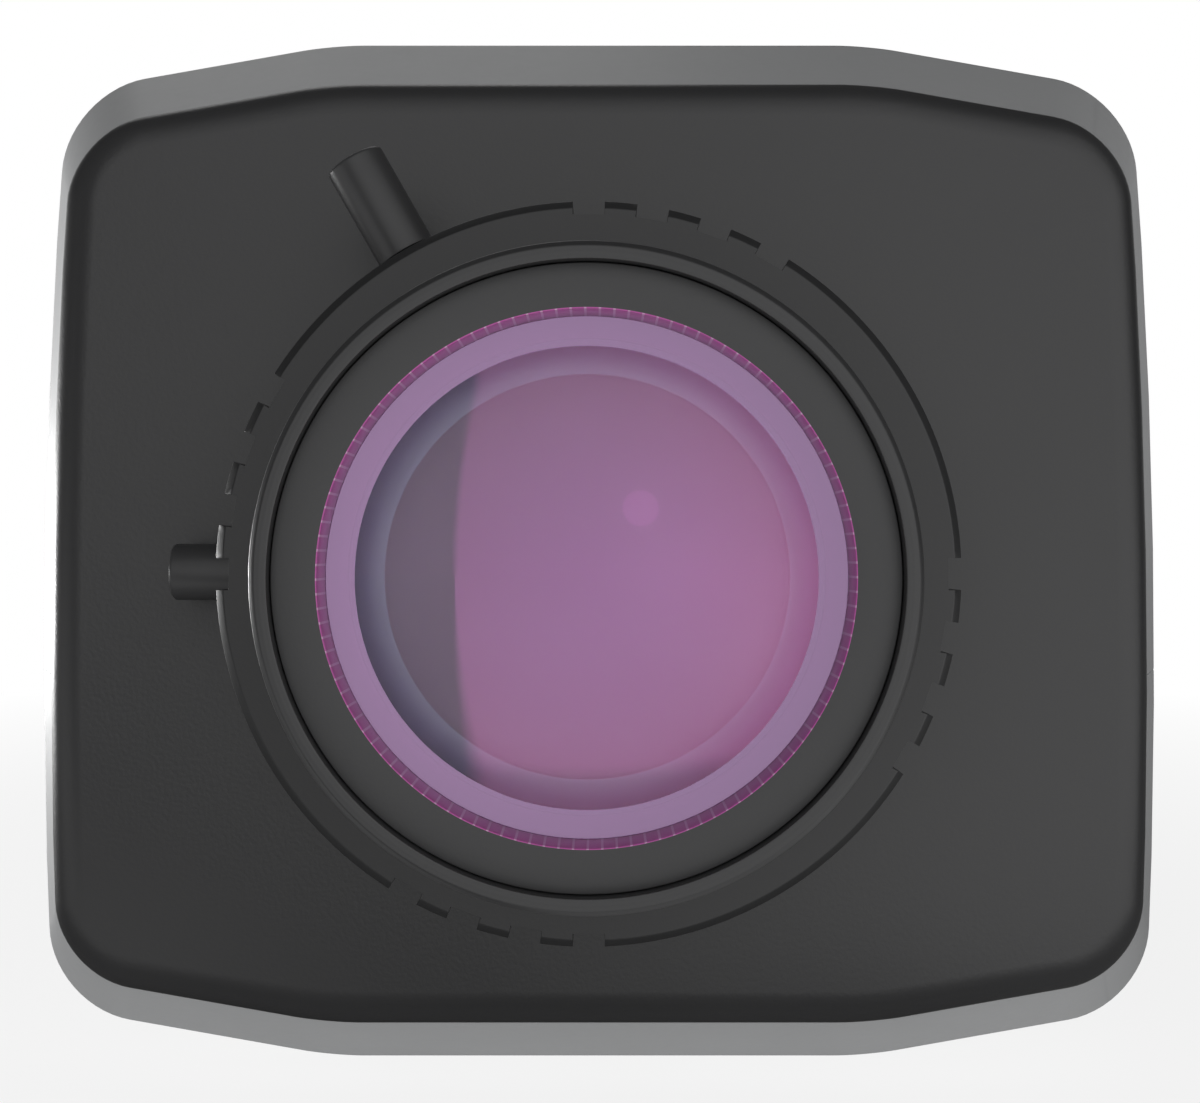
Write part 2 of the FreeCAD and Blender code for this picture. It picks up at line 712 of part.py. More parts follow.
def make_front_cap():
    """Mould the dark cap: a plate with a rounded edge, a locating skirt and the lens hole."""
    body = new_body("front_cap")
    plate = new_sketch(body, "plate", offset=HALF_LENGTH)
    draw_outline(plate, NOSE)
    slab = pad(body, plate, "cap_proud")
    face = size(CAP_FACE)
    reach = slab.Shape.BoundBox.DiagonalLength
    round_edges(body, slab, "cap_edge_radius",
                lambda edge: all(abs(spot.Point.z - face) < reach * 1e-6 for spot in edge.Vertexes))
    skirt = new_sketch(body, "skirt", offset=f"{HALF_LENGTH} - cap_skirt_length")
    draw_outline(skirt, NOSE.inset("nose_wall + cap_clearance"))
    pad(body, skirt, "cap_skirt_length")
    inside = new_sketch(body, "inside", offset=f"{HALF_LENGTH} - cap_skirt_length")
    draw_outline(inside, NOSE.inset("nose_wall + cap_clearance + cap_skirt_wall"))
    cut(body, inside, "cap_skirt_length + cap_proud - cap_thickness")
    hole = new_sketch(body, "lens_hole", offset=f"{HALF_LENGTH} - cap_skirt_length")
    draw_circles(hole, [("lens_axis_x", "lens_axis_height")], "barrel_radius + lens_hole_gap")
    cut(body, hole, "cap_skirt_length + cap_proud * 2")


def make_screws(label, places, plane, seat, head_radius, head_height, shank_radius, shank_length, head_along):
    """Make a group of equal screws: flat round heads on one plane, with shanks the other way."""
    body = new_body(label)
    heads = new_sketch(body, "heads", plane, seat)
    draw_circles(heads, places, head_radius)
    pad(body, heads, head_height, reverse=not head_along)
    shanks = new_sketch(body, "shanks", plane, seat)
    draw_circles(shanks, places, shank_radius)
    pad(body, shanks, shank_length, reverse=head_along)


def make_housing_fasteners():
    """Make the case screws, the rear panel's screws and the threaded tripod insert."""
    make_screws("case_screws", CASE_POSTS, "XZ_Plane", "-case_screw_seat", "case_screw_head_radius",
                "case_screw_head_height", "case_screw_radius",
                "widest_height + case_screw_grip - case_screw_seat", head_along=True)
    make_screws("rear_panel_screws", PANEL_SCREWS_LOW + PANEL_SCREWS_HIGH, "XY_Plane", f"-{PANEL_FACE}",
                "panel_screw_head_radius", "panel_screw_head_height", "panel_screw_radius",
                "panel_screw_length", head_along=False)
    insert = new_body("tripod_insert", turn=UPRIGHT)
    turn_profile(insert, [
        ("tripod_thread_radius", "0"),
        ("tripod_insert_radius", "0"),
        ("tripod_insert_radius", "tripod_insert_length"),
        ("0", "tripod_insert_length"),
        ("0", "tripod_thread_depth"),
        ("tripod_thread_radius", "tripod_thread_depth"),
    ])


# Lens

def lens_body(label, turn=FORWARD):
    """Start a piece of the lens, with its own Z along the lens axis from the sensor plane forward."""
    return new_body(label, "lens_axis_x", f"-{SENSOR_PLANE}", "lens_axis_height", turn)


def make_base_barrel():
    """Turn the fixed barrel: mount thread, flange, body, and the thin sleeve that carries both rings."""
    body = lens_body("lens_base_barrel")
    flange_front = "(flange_focal + mount_flange_thickness)"
    thread_rear = "(flange_focal - mount_thread_length)"
    shoulder = f"({ZOOM_RING_REAR} - running_fit)"
    sleeve_front = f"({FOCUS_RING_FRONT} - ring_gap)"
    turn_profile(body, [
        ("rear_bore_radius", thread_rear),
        ("mount_thread_radius", thread_rear),
        ("mount_thread_radius", "flange_focal"),
        ("mount_flange_radius", "flange_focal"),
        ("mount_flange_radius", flange_front),
        ("barrel_radius", f"{flange_front} + barrel_shoulder"),
        ("barrel_radius", shoulder),
        ("ring_seat_radius", shoulder),
        ("ring_seat_radius", sleeve_front),
        (SLEEVE_BORE, sleeve_front),
        (SLEEVE_BORE, "sleeve_floor"),
        ("rear_bore_radius", "sleeve_floor"),
    ])


def about_axis(angle):
    """Give a turn about the lens axis."""
    return f"rotation(vector(0; 0; 1); {angle})"


def make_ring(label, rear, front, radius, lock_angle, lock_place, first_group):
    """Turn a grip ring, cut its four groups of notches and bore it for its lock screw.

    The ring's own X points along the lock screw.
    """
    body = lens_body(label, f"{FORWARD} * {about_axis(lock_angle)}")
    turn_profile(body, [
        (RING_BORE, rear),
        (f"{radius} - ring_chamfer", rear),
        (radius, f"{rear} + ring_chamfer"),
        (radius, f"{front} - ring_chamfer"),
        (f"{radius} - ring_chamfer", front),
        (RING_BORE, front),
    ])
    bore = new_sketch(body, "lock_bore", "YZ_Plane")
    draw_circles(bore, [("0", f"{rear} + {lock_place}")], "lock_shank_radius + sliding_gap")
    cut(body, bore, radius)
    notches = new_sketch(body, "notches", offset=rear)
    floor = f"({radius} - notch_depth)"
    clear = f"({radius} + notch_depth)"
    for index in range(GRIP_NOTCHES):
        middle = f"({first_group} + notch_pitch * {index - (GRIP_NOTCHES - 1) / 2})"
        sides = [f"({middle} - notch_angle / 2)", f"({middle} + notch_angle / 2)"]
        draw_polygon(notches, [(f"{reach} * cos({side})", f"{reach} * sin({side})")
                               for reach, side in ((floor, sides[0]), (clear, sides[0]),
                                                   (clear, sides[1]), (floor, sides[1]))])
    group = cut(body, notches, f"{front} - {rear}")
    pattern = body.newObject("PartDesign::PolarPattern", f"{label}_groups")
    pattern.Originals = [group]
    pattern.Axis = (notches, ["N_Axis"])
    pattern.Angle = FULL_TURN
    pattern.Occurrences = GRIP_GROUPS
    body.Tip = pattern
    doc.recompute()


def make_lock_screw(label, rear, radius, angle, place):
    """Turn a lock screw: a plain round grip with a chamfered end, and a shank through its ring."""
    outward = "rotation(vector(0; 1; 0); 90)"
    turn = f"{FORWARD} * {about_axis(angle)} * {outward}"
    body = new_body(label, "lens_axis_x", f"-({SENSOR_PLANE} + {rear} + {place})", "lens_axis_height", turn)
    tip = f"({radius} + lock_head_reach)"
    seat = f"({radius} + ring_gap)"
    turn_profile(body, [
        ("0", "ring_seat_radius + sliding_gap"),
        ("lock_shank_radius", "ring_seat_radius + sliding_gap"),
        ("lock_shank_radius", seat),
        ("lock_head_radius", seat),
        ("lock_head_radius", f"{tip} - lock_head_chamfer"),
        ("lock_head_radius - lock_head_chamfer", tip),
        ("0", tip),
    ])


def make_front_barrel():
    """Turn the front barrel, with its chamfered rim, the seat of the name ring and the glass step."""
    body = lens_body("front_barrel")
    rear = "(lens_front - front_barrel_length)"
    glass_bore = "(front_glass_radius + running_fit)"
    turn_profile(body, [
        (BARREL_BORE, rear),
        ("front_barrel_radius", rear),
        ("front_barrel_radius", "lens_front - rim_chamfer"),
        ("front_barrel_radius - rim_chamfer", "lens_front"),
        (RIM_BORE, "lens_front"),
        (RIM_BORE, NAME_REAR),
        (glass_bore, NAME_REAR),
        (glass_bore, GLASS_SEAT),
        (f"{glass_bore} - glass_step", GLASS_SEAT),
        (f"{glass_bore} - glass_step", STEP_REAR),
        (BARREL_BORE, STEP_REAR),
    ])
    ring = lens_body("name_ring")
    ring_outer = f"({RIM_BORE} - running_fit)"
    ring_inner = f"({RIM_BORE} - name_ring_width)"
    turn_profile(ring, [(ring_inner, NAME_REAR), (ring_outer, NAME_REAR), (ring_outer, NAME_FACE),
                        (ring_inner, NAME_FACE)])


def make_glass(label, radius, rear, edge, front_crown, rear_crown="0"):
    """Grind a lens element with a domed front and a flat or domed rear."""
    body = lens_body(label)
    front = f"({rear} + {edge})"
    apex = f"({front} + {front_crown})"
    rear_apex = f"({rear} - {rear_crown})"
    sketch = new_sketch(body, "section", "XZ_Plane")
    rim_low = FreeCAD.Vector(size(radius), size(rear), 0)
    rim_high = FreeCAD.Vector(size(radius), size(front), 0)
    low = FreeCAD.Vector(0, size(rear_apex), 0)
    high = FreeCAD.Vector(0, size(apex), 0)

    def dome(rim, pole, sag):
        """Make the arc of one face, with its centre on the axis."""
        rise = size(sag)
        curve = (rim.x ** 2 + rise ** 2) / (2 * rise)
        centre = FreeCAD.Vector(0, pole.y + (curve if pole.y < rim.y else -curve), 0)
        ends = (pole, rim) if pole.y < rim.y else (rim, pole)
        return arc_between(centre, *ends)

    flat_rear = rear_crown == "0"
    sketch.addGeometry(Part.LineSegment(low, rim_low) if flat_rear else dome(rim_low, low, rear_crown), False)
    sketch.addGeometry(Part.LineSegment(rim_low, rim_high), False)
    sketch.addGeometry(dome(rim_high, high, front_crown), False)
    sketch.addGeometry(Part.LineSegment(high, low), False)
    under, rim, over, axis = range(4)
    for index in (under, rim, over, axis):
        sketch.addConstraint(Sketcher.Constraint("Coincident", index, 2, (index + 1) % 4, 1))
    pin_point(sketch, rim, 1, radius, rear)
    pin_point(sketch, rim, 2, radius, front)
    pin_point(sketch, axis, 1, "0", apex)
    pin_point(sketch, axis, 2, "0", rear_apex)
    sketch.addConstraint(Sketcher.Constraint("PointOnObject", over, 3, -2))
    if not flat_rear:
        sketch.addConstraint(Sketcher.Constraint("PointOnObject", under, 3, -2))
    revolve(body, sketch)


def make_inner_optics():
    """Make the zoom cell, the aperture stop and the glass elements."""
    cell = lens_body("zoom_cell")
    cell_bore = f"({ZOOM_CELL_RADIUS} - zoom_cell_wall)"
    cell_front = "(zoom_cell_place + zoom_cell_length)"
    turn_profile(cell, [
        (f"{cell_bore} - cell_lip", "zoom_cell_place"),
        (ZOOM_CELL_RADIUS, "zoom_cell_place"),
        (ZOOM_CELL_RADIUS, cell_front),
        (cell_bore, cell_front),
        (cell_bore, "zoom_cell_place + cell_lip"),
        (f"{cell_bore} - cell_lip", "zoom_cell_place + cell_lip"),
    ])
    stop = lens_body("aperture_stop")
    stop_radius = "(rear_bore_radius - seat_clearance)"
    glass_seat = "(aperture_place + rear_glass_edge + running_fit)"
    rear_seat_radius = "(rear_glass_radius + running_fit)"
    turn_profile(stop, [
        (rear_seat_radius, "aperture_place"),
        (stop_radius, "aperture_place"),
        (stop_radius, "aperture_place + aperture_length"),
        ("aperture_radius", "aperture_place + aperture_length"),
        ("aperture_radius", f"{glass_seat} + rear_glass_crown"),
        (rear_seat_radius, f"{glass_seat} + rear_glass_crown"),
    ])
    make_glass("front_glass", "front_glass_radius", GLASS_SEAT, "front_glass_edge", "front_glass_crown")
    second_rear = f"({STEP_REAR} - second_glass_gap - second_glass_edge)"
    make_glass("second_glass", f"{BARREL_BORE} - running_fit", second_rear, "second_glass_edge",
               "second_glass_crown", "second_glass_crown")
    make_glass("zoom_glass", f"{cell_bore} - running_fit", "zoom_cell_place + cell_lip", "zoom_glass_edge",
               "zoom_glass_crown")
    make_glass("rear_glass", "rear_glass_radius", "aperture_place", "rear_glass_edge", "rear_glass_crown")


def make_lens():
    """Make every piece of the lens."""
    make_base_barrel()
    make_ring("zoom_ring", ZOOM_RING_REAR, f"({ZOOM_RING_REAR} + zoom_ring_length)", "zoom_ring_radius",
              "zoom_lock_angle", "zoom_lock_place", "zoom_grip_turn")
    make_ring("focus_ring", FOCUS_RING_REAR, FOCUS_RING_FRONT, "focus_ring_radius", "focus_lock_angle",
              "focus_lock_place", "(focus_grip_angle - focus_lock_angle)")
    make_lock_screw("zoom_lock_screw", ZOOM_RING_REAR, "zoom_ring_radius", "zoom_lock_angle",
                    "zoom_lock_place")
    make_lock_screw("focus_lock_screw", FOCUS_RING_REAR, "focus_ring_radius", "focus_lock_angle",
                    "focus_lock_place")
    make_front_barrel()
    make_inner_optics()


# Sensor unit

def make_sensor_unit():
    """Make the lens mount, its bracket, the day and night filter, and the sensor on its board."""
    ring = lens_body("lens_mount_ring")
    thread = "(mount_thread_radius + running_fit)"
    spigot = f"({thread} + mount_ring_spigot_wall)"
    spigot_rear = f"({BRACKET_FRONT} - mount_ring_spigot_length)"
    turn_profile(ring, [
        (thread, spigot_rear),
        (spigot, spigot_rear),
        (spigot, BRACKET_FRONT),
        ("mount_ring_flange_radius", BRACKET_FRONT),
        ("mount_ring_flange_radius", "flange_focal"),
        (thread, "flange_focal"),
    ])

    board_front = "sensor_thickness"
    corner_x = "(sensor_board_width / 2 - sensor_screw_inset)"
    corner_y = "(sensor_board_height / 2 - sensor_screw_inset)"
    corners = [(f"{left}{corner_x}", f"{low}{corner_y}") for left in ("", "-") for low in ("", "-")]
    bracket = lens_body("sensor_bracket")
    plate = new_sketch(bracket, "plate", offset=BRACKET_REAR)
    draw_rectangle(plate, "0", "0", "bracket_width", "bracket_height")
    pad(bracket, plate, "bracket_thickness")
    stems = new_sketch(bracket, "stems", offset=f"-{board_front}")
    draw_circles(stems, corners, "sensor_post_radius")
    pad(bracket, stems, f"{BRACKET_REAR} + {board_front}")
    spigot_hole = new_sketch(bracket, "spigot_hole", offset=spigot_rear)
    draw_circles(spigot_hole, CENTRE, f"{spigot} + seat_clearance")
    cut(bracket, spigot_hole, "bracket_thickness")
    light_path = new_sketch(bracket, "light_path", offset=BRACKET_REAR)
    draw_circles(light_path, CENTRE, "mount_thread_radius - mount_ring_spigot_wall")
    cut(bracket, light_path, "bracket_thickness")
    channel = new_sketch(bracket, "channel", offset=BRACKET_REAR)
    channel_width = "filter_width + (filter_travel + sliding_gap) * 2"
    channel_height = "filter_height + sliding_gap * 2"
    draw_rectangle(channel, "0", "0", channel_width, channel_height)
    cut(bracket, channel, "filter_thickness + sliding_gap")
    pilots = new_sketch(bracket, "pilots", "XZ_Plane", "bracket_height / 2")
    draw_circles(pilots, [(f"{side}bracket_post_x", f"({BRACKET_FRONT} + {BRACKET_REAR}) / 2")
                          for side in ("", "-")], "bracket_screw_radius + seat_clearance")
    cut(bracket, pilots, "bracket_screw_grip", along=False)
    stem_pilots = new_sketch(bracket, "stem_pilots", offset=f"-{board_front}")
    draw_circles(stem_pilots, corners, "sensor_screw_radius + seat_clearance")
    cut(bracket, stem_pilots, "sensor_screw_length - board_thickness")
    make_screws("bracket_screws", BRACKET_POSTS, "XZ_Plane",
                "-bracket_screw_seat", "bracket_screw_head_radius", "bracket_screw_head_height",
                "bracket_screw_radius", f"{BRACKET_FOOT} + bracket_screw_grip - bracket_screw_seat",
                head_along=True)

    window_places = ("0", "(-filter_travel * 2)")
    frame = lens_body("filter_frame")
    frame_sketch = new_sketch(frame, "frame", offset=BRACKET_REAR)
    draw_rectangle(frame_sketch, "(-filter_travel)", "0", "filter_width", "filter_height")
    pad(frame, frame_sketch, "filter_thickness")
    windows = new_sketch(frame, "windows", offset=BRACKET_REAR)
    for place in window_places:
        draw_rectangle(windows, place, "0", "filter_window", "filter_window")
    cut(frame, windows, "filter_thickness")
    pane_rear = f"{BRACKET_REAR} + (filter_thickness - filter_glass_thickness) / 2"
    for label, place in zip(("infrared_filter", "clear_filter"), window_places):
        glass = lens_body(label)
        pane = new_sketch(glass, "pane", offset=pane_rear)
        draw_rectangle(pane, place, "0", "filter_window", "filter_window")
        pad(glass, pane, "filter_glass_thickness")
    cover = lens_body("filter_cover")
    cover_rear = f"{BRACKET_REAR} - filter_cover_thickness"
    lid = new_sketch(cover, "lid", offset=cover_rear)
    draw_rectangle(lid, "0", "0", f"{channel_width} + filter_cover_lap * 2",
                   f"{channel_height} + filter_cover_lap * 2")
    pad(cover, lid, "filter_cover_thickness")
    view = new_sketch(cover, "view", offset=cover_rear)
    draw_circles(view, CENTRE, "filter_cover_radius")
    cut(cover, view, "filter_cover_thickness")

    motor = lens_body("filter_motor")
    can = new_sketch(motor, "can", offset=f"{BRACKET_REAR} - filter_motor_length")
    draw_circles(can, [("0", "-filter_motor_drop")], "filter_motor_radius")
    pad(motor, can, "filter_motor_length")

    sensor = lens_body("image_sensor")
    chip = new_sketch(sensor, "chip", offset=f"-{board_front}")
    draw_rectangle(chip, "0", "0", "sensor_width", "sensor_height")
    pad(sensor, chip, "sensor_thickness")
    board = lens_body("sensor_board")
    sheet_sketch = new_sketch(board, "sheet", offset=f"-({board_front} + board_thickness)")
    draw_rectangle(sheet_sketch, "0", "0", "sensor_board_width", "sensor_board_height")
    pad(board, sheet_sketch, "board_thickness")
    holes = new_sketch(board, "holes", offset=f"-({board_front} + board_thickness)")
    draw_circles(holes, corners, "sensor_screw_radius + seat_clearance")
    cut(board, holes, "board_thickness")
    world_corners = [(f"lens_axis_x + {x}", f"lens_axis_height + {y}") for x, y in corners]
    make_screws("sensor_screws", world_corners, "XY_Plane",
                f"{SENSOR_PLANE} - ({board_front} + board_thickness)", "sensor_screw_head_radius",
                "sensor_screw_head_height", "sensor_screw_radius", "sensor_screw_length", head_along=False)


# Electronics

def standing_block(label, x, y, base, width, length, height):
    """Make a block that stands on a level, about a place given in X and Y."""
    body = new_body(label, turn=UPRIGHT)
    sketch = new_sketch(body, "outline", offset=base)
    draw_rectangle(sketch, x, y, width, length)
    pad(body, sketch, height)
    return body


def make_electronics():
    """Make the main board with what stands on it, and the ribbon from the sensor board."""
    board = new_body("main_board", turn=UPRIGHT)
    outline = new_sketch(board, "outline", offset="main_board_height")
    half = "(main_board_width / 2)"
    draw_polygon(outline, [(f"-{half}", "-main_board_front"), (half, "-main_board_front"),
                           (half, "main_board_rear"), (f"-{half}", "main_board_rear")])
    pad(board, outline, "board_thickness")
    holes = new_sketch(board, "holes", offset="main_board_height")
    draw_circles(holes, [(x, f"-({y})") for x, y in MAIN_POSTS], "main_screw_radius + seat_clearance")
    cut(board, holes, "board_thickness")
    make_screws("main_board_screws", MAIN_POSTS, "XZ_Plane", f"-{BOARD_TOP}", "main_screw_head_radius",
                "main_screw_head_height", "main_screw_radius", "main_screw_length", head_along=False)

    standing_block("processor", "0", "processor_place", BOARD_TOP, "processor_width", "processor_width",
                   "processor_height")
    sink_base = f"({BOARD_TOP} + processor_height)"
    sink = standing_block("heat_sink", "0", "processor_place", sink_base, "heat_sink_width",
                          "heat_sink_width", "heat_sink_height")
    slots = new_sketch(sink, "slots", offset=f"{sink_base} + heat_sink_base")
    slot = "((heat_sink_width - fin_count * fin_thickness) / (fin_count - 1))"
    first = f"(-heat_sink_width / 2 + fin_thickness + {slot} / 2)"
    for index in range(int(size("fin_count")) - 1):
        draw_rectangle(slots, f"({first} + {index} * ({slot} + fin_thickness))", "processor_place", slot,
                       "heat_sink_width + fin_thickness")
    cut(sink, slots, "heat_sink_height")

    chips = new_body("memory_chips", turn=UPRIGHT)
    chip_sketch = new_sketch(chips, "chips", offset=BOARD_TOP)
    chip_y = "(processor_place - processor_width / 2 - memory_gap - memory_length / 2)"
    for side in ("", "-"):
        draw_rectangle(chip_sketch, f"{side}(memory_width + memory_gap) / 2", chip_y, "memory_width",
                       "memory_length")
    pad(chips, chip_sketch, "memory_height")

    transformer_y = "(main_board_rear - connector_depth - transformer_edge - transformer_length / 2)"
    standing_block("transformer", "-transformer_width / 2", transformer_y, BOARD_TOP, "transformer_width",
                   "transformer_length", "transformer_height")
    capacitors = new_body("capacitors", turn=UPRIGHT)
    cans = new_sketch(capacitors, "cans", offset=BOARD_TOP)
    places = [(f"capacitor_pitch * {column}", f"{transformer_y} - capacitor_pitch / 2") for column in (1, 2)]
    draw_circles(cans, places, "capacitor_radius")
    pad(capacitors, cans, "capacitor_height")
    link_y = f"(({IO_BOARD_REAR} - board_thickness + main_board_rear) / 2 - connector_depth / 2)"
    link_length = f"{IO_BOARD_REAR} - board_thickness - main_board_rear + connector_depth"
    standing_block("board_connector", "0", link_y, BOARD_TOP, "connector_width", link_length,
                   "connector_height")

    ribbon = new_body("ribbon_cable", turn=UPRIGHT)
    strip = new_sketch(ribbon, "strip", "YZ_Plane", "lens_axis_x - ribbon_width / 2")
    back = f"(-{SENSOR_PLANE} + sensor_thickness + board_thickness)"
    level = BOARD_TOP
    bend = f"({back} + ribbon_run)"
    upper = "(lens_axis_height - sensor_board_height / 2 + ribbon_lug * 3)"
    landing = "(-main_board_front + ribbon_landing)"
    draw_polygon(strip, [
        (back, upper),
        (f"{back} + ribbon_lug", upper),
        (bend, f"{upper} - ribbon_lug"),
        (bend, f"{level} + ribbon_lug"),
        (f"{bend} + ribbon_lug", f"{level} + ribbon_thickness"),
        (landing, f"{level} + ribbon_thickness"),
        (landing, level),
        (f"{bend} + ribbon_lug - ribbon_thickness / 2", level),
        (f"{bend} - ribbon_thickness", f"{level} + ribbon_lug - ribbon_thickness / 2"),
        (f"{bend} - ribbon_thickness", f"{upper} - ribbon_lug - ribbon_thickness / 2"),
        (f"{back} + ribbon_lug - ribbon_thickness / 2", f"{upper} - ribbon_thickness"),
        (back, f"{upper} - ribbon_thickness"),
    ])
    pad(ribbon, strip, "ribbon_width")


# Rear panel and its connectors

IO_POSTS = [(f"{side}io_post_x", level) for side in ("", "-") for level in (IO_POST_LOW, IO_POST_HIGH)]
RECTANGLES = [
    ("jack_x", "jack_height_at", "jack_width", "jack_height"),
    ("power_x", "terminal_height_at", "power_width", "terminal_height"),
    ("io_x", "terminal_height_at", "io_width", "terminal_height"),
    ("card_x", AUDIO_LEVEL, "card_width", "card_height"),
]
AUDIO_JACKS = [("audio_in_x", AUDIO_LEVEL), ("audio_out_x", AUDIO_LEVEL)]


def make_rear_panel():
    """Make the rear panel with its cut-outs and posts, and the board that its posts carry."""
    panel = new_body("rear_panel")
    plate = new_sketch(panel, "plate", offset=f"-{PANEL_FACE}")
    draw_outline(plate, MAIN.inset("housing_wall + panel_clearance"))
    pad(panel, plate, "panel_thickness")
    stems = new_sketch(panel, "stems", offset=f"-{PANEL_INNER}")
    draw_circles(stems, IO_POSTS, "panel_post_radius")
    pad(panel, stems, "panel_post_length")
    openings = new_sketch(panel, "openings", offset=f"-{PANEL_FACE}")
    for x, level, width, height in RECTANGLES:
        draw_rectangle(openings, x, level, f"{width} + cutout_clearance * 2",
                       f"{height} + cutout_clearance * 2")
    draw_circles(openings, AUDIO_JACKS, "audio_collar_radius + cutout_clearance")
    draw_circles(openings, [("button_x", BUTTON_LEVEL)], "button_radius + sliding_gap")
    draw_circles(openings, [("light_x", LIGHT_LEVEL)], "light_radius + seat_clearance")
    draw_circles(openings, PANEL_SCREWS_LOW + PANEL_SCREWS_HIGH, "panel_screw_radius + screw_clearance")
    cut(panel, openings, "panel_thickness")
    pilots = new_sketch(panel, "pilots", offset=f"-({PANEL_INNER} - panel_post_length + io_screw_length)")
    draw_circles(pilots, IO_POSTS, "io_screw_radius + seat_clearance")
    cut(panel, pilots, "io_screw_length")

    board = new_body("io_board")
    sheet_sketch = new_sketch(board, "sheet", offset=f"-{IO_BOARD_REAR}")
    draw_rectangle(sheet_sketch, "0", f"(io_board_low + {IO_BOARD_TOP}) / 2", "io_board_width",
                   f"{IO_BOARD_TOP} - io_board_low")
    pad(board, sheet_sketch, "board_thickness")
    holes = new_sketch(board, "holes", offset=f"-{IO_BOARD_REAR}")
    draw_circles(holes, IO_POSTS, "io_screw_radius + seat_clearance")
    cut(board, holes, "board_thickness")
    make_screws("io_board_screws", IO_POSTS, "XY_Plane", f"-({IO_BOARD_REAR} - board_thickness)",
                "io_screw_head_radius", "io_screw_head_height", "io_screw_radius", "io_screw_length",
                head_along=True)


def rear_block(label, x, level, width, height, face, depth):
    """Make a block behind the rear panel, from a rear face forward."""
    body = new_body(label)
    sketch = new_sketch(body, "outline", offset=f"-{face}")
    draw_rectangle(sketch, x, level, width, height)
    pad(body, sketch, depth)
    return body


def make_network_jack():
    """Make the network jack with its stepped plug opening, and the row of contacts inside."""
    jack = rear_block("network_jack", "jack_x", "jack_height_at", "jack_width", "jack_height", CONNECTOR_FACE,
                      CONNECTOR_LENGTH)
    opening = new_sketch(jack, "opening", offset=f"-{CONNECTOR_FACE}")
    left, right = "(jack_x - plug_width / 2)", "(jack_x + plug_width / 2)"
    latch_left, latch_right = "(jack_x - latch_width / 2)", "(jack_x + latch_width / 2)"
    top = "(jack_height_at + plug_height / 2)"
    bottom = "(jack_height_at - plug_height / 2)"
    latch = f"({bottom} - latch_height)"
    latch_lift = f"{bottom} + contact_height"
    draw_polygon(opening, [
        (left, latch_lift), (latch_left, latch_lift), (latch_left, latch), (latch_right, latch),
        (latch_right, latch_lift), (right, latch_lift), (right, top), (left, top),
    ])
    cut(jack, opening, "plug_depth")
    contacts = new_body("network_contacts")
    row = new_sketch(contacts, "row", offset=f"-({CONNECTOR_FACE} - plug_depth + contact_length)")
    middle = (int(size("contact_count")) - 1) / 2
    for index in range(int(size("contact_count"))):
        draw_rectangle(row, f"(jack_x + contact_pitch * {index - middle})", f"({top} - contact_height / 2)",
                       "contact_width", "contact_height")
    pad(contacts, row, "contact_length")


def make_terminal(name, x, width, poles):
    """Make a plug-in terminal header: an open shroud and its square pins."""
    shroud = rear_block(f"{name}_terminal", x, "terminal_height_at", width, "terminal_height", CONNECTOR_FACE,
                        CONNECTOR_LENGTH)
    inside = new_sketch(shroud, "inside", offset=f"-{CONNECTOR_FACE}")
    draw_rectangle(inside, x, "terminal_height_at", f"{width} - terminal_wall * 2",
                   "terminal_height - terminal_wall * 2")
    cut(shroud, inside, "terminal_depth")
    pins = new_body(f"{name}_pins")
    row = new_sketch(pins, "row", offset=f"-({CONNECTOR_FACE} - terminal_depth + pin_length)")
    for index in range(poles):
        draw_rectangle(row, f"({x} + terminal_pitch * {index - (poles - 1) / 2})", "terminal_height_at",
                       "pin_width", "pin_width")
    pad(pins, row, "pin_length")


def make_audio_jack(label, x):
    """Make a sound jack: a square body on the board with a round bored collar."""
    jack = new_body(label)
    collar = new_sketch(jack, "collar", offset=f"-{CONNECTOR_FACE}")
    draw_circles(collar, [(x, AUDIO_LEVEL)], "audio_collar_radius")
    pad(jack, collar, CONNECTOR_LENGTH)
    block = new_sketch(jack, "block", offset=f"-({IO_BOARD_REAR} + audio_body_depth)")
    draw_rectangle(block, x, AUDIO_LEVEL, "audio_body_width", "audio_body_width")
    pad(jack, block, "audio_body_depth")
    bore = new_sketch(jack, "bore", offset=f"-{CONNECTOR_FACE}")
    draw_circles(bore, [(x, AUDIO_LEVEL)], "audio_bore_radius")
    cut(jack, bore, "audio_bore_depth")


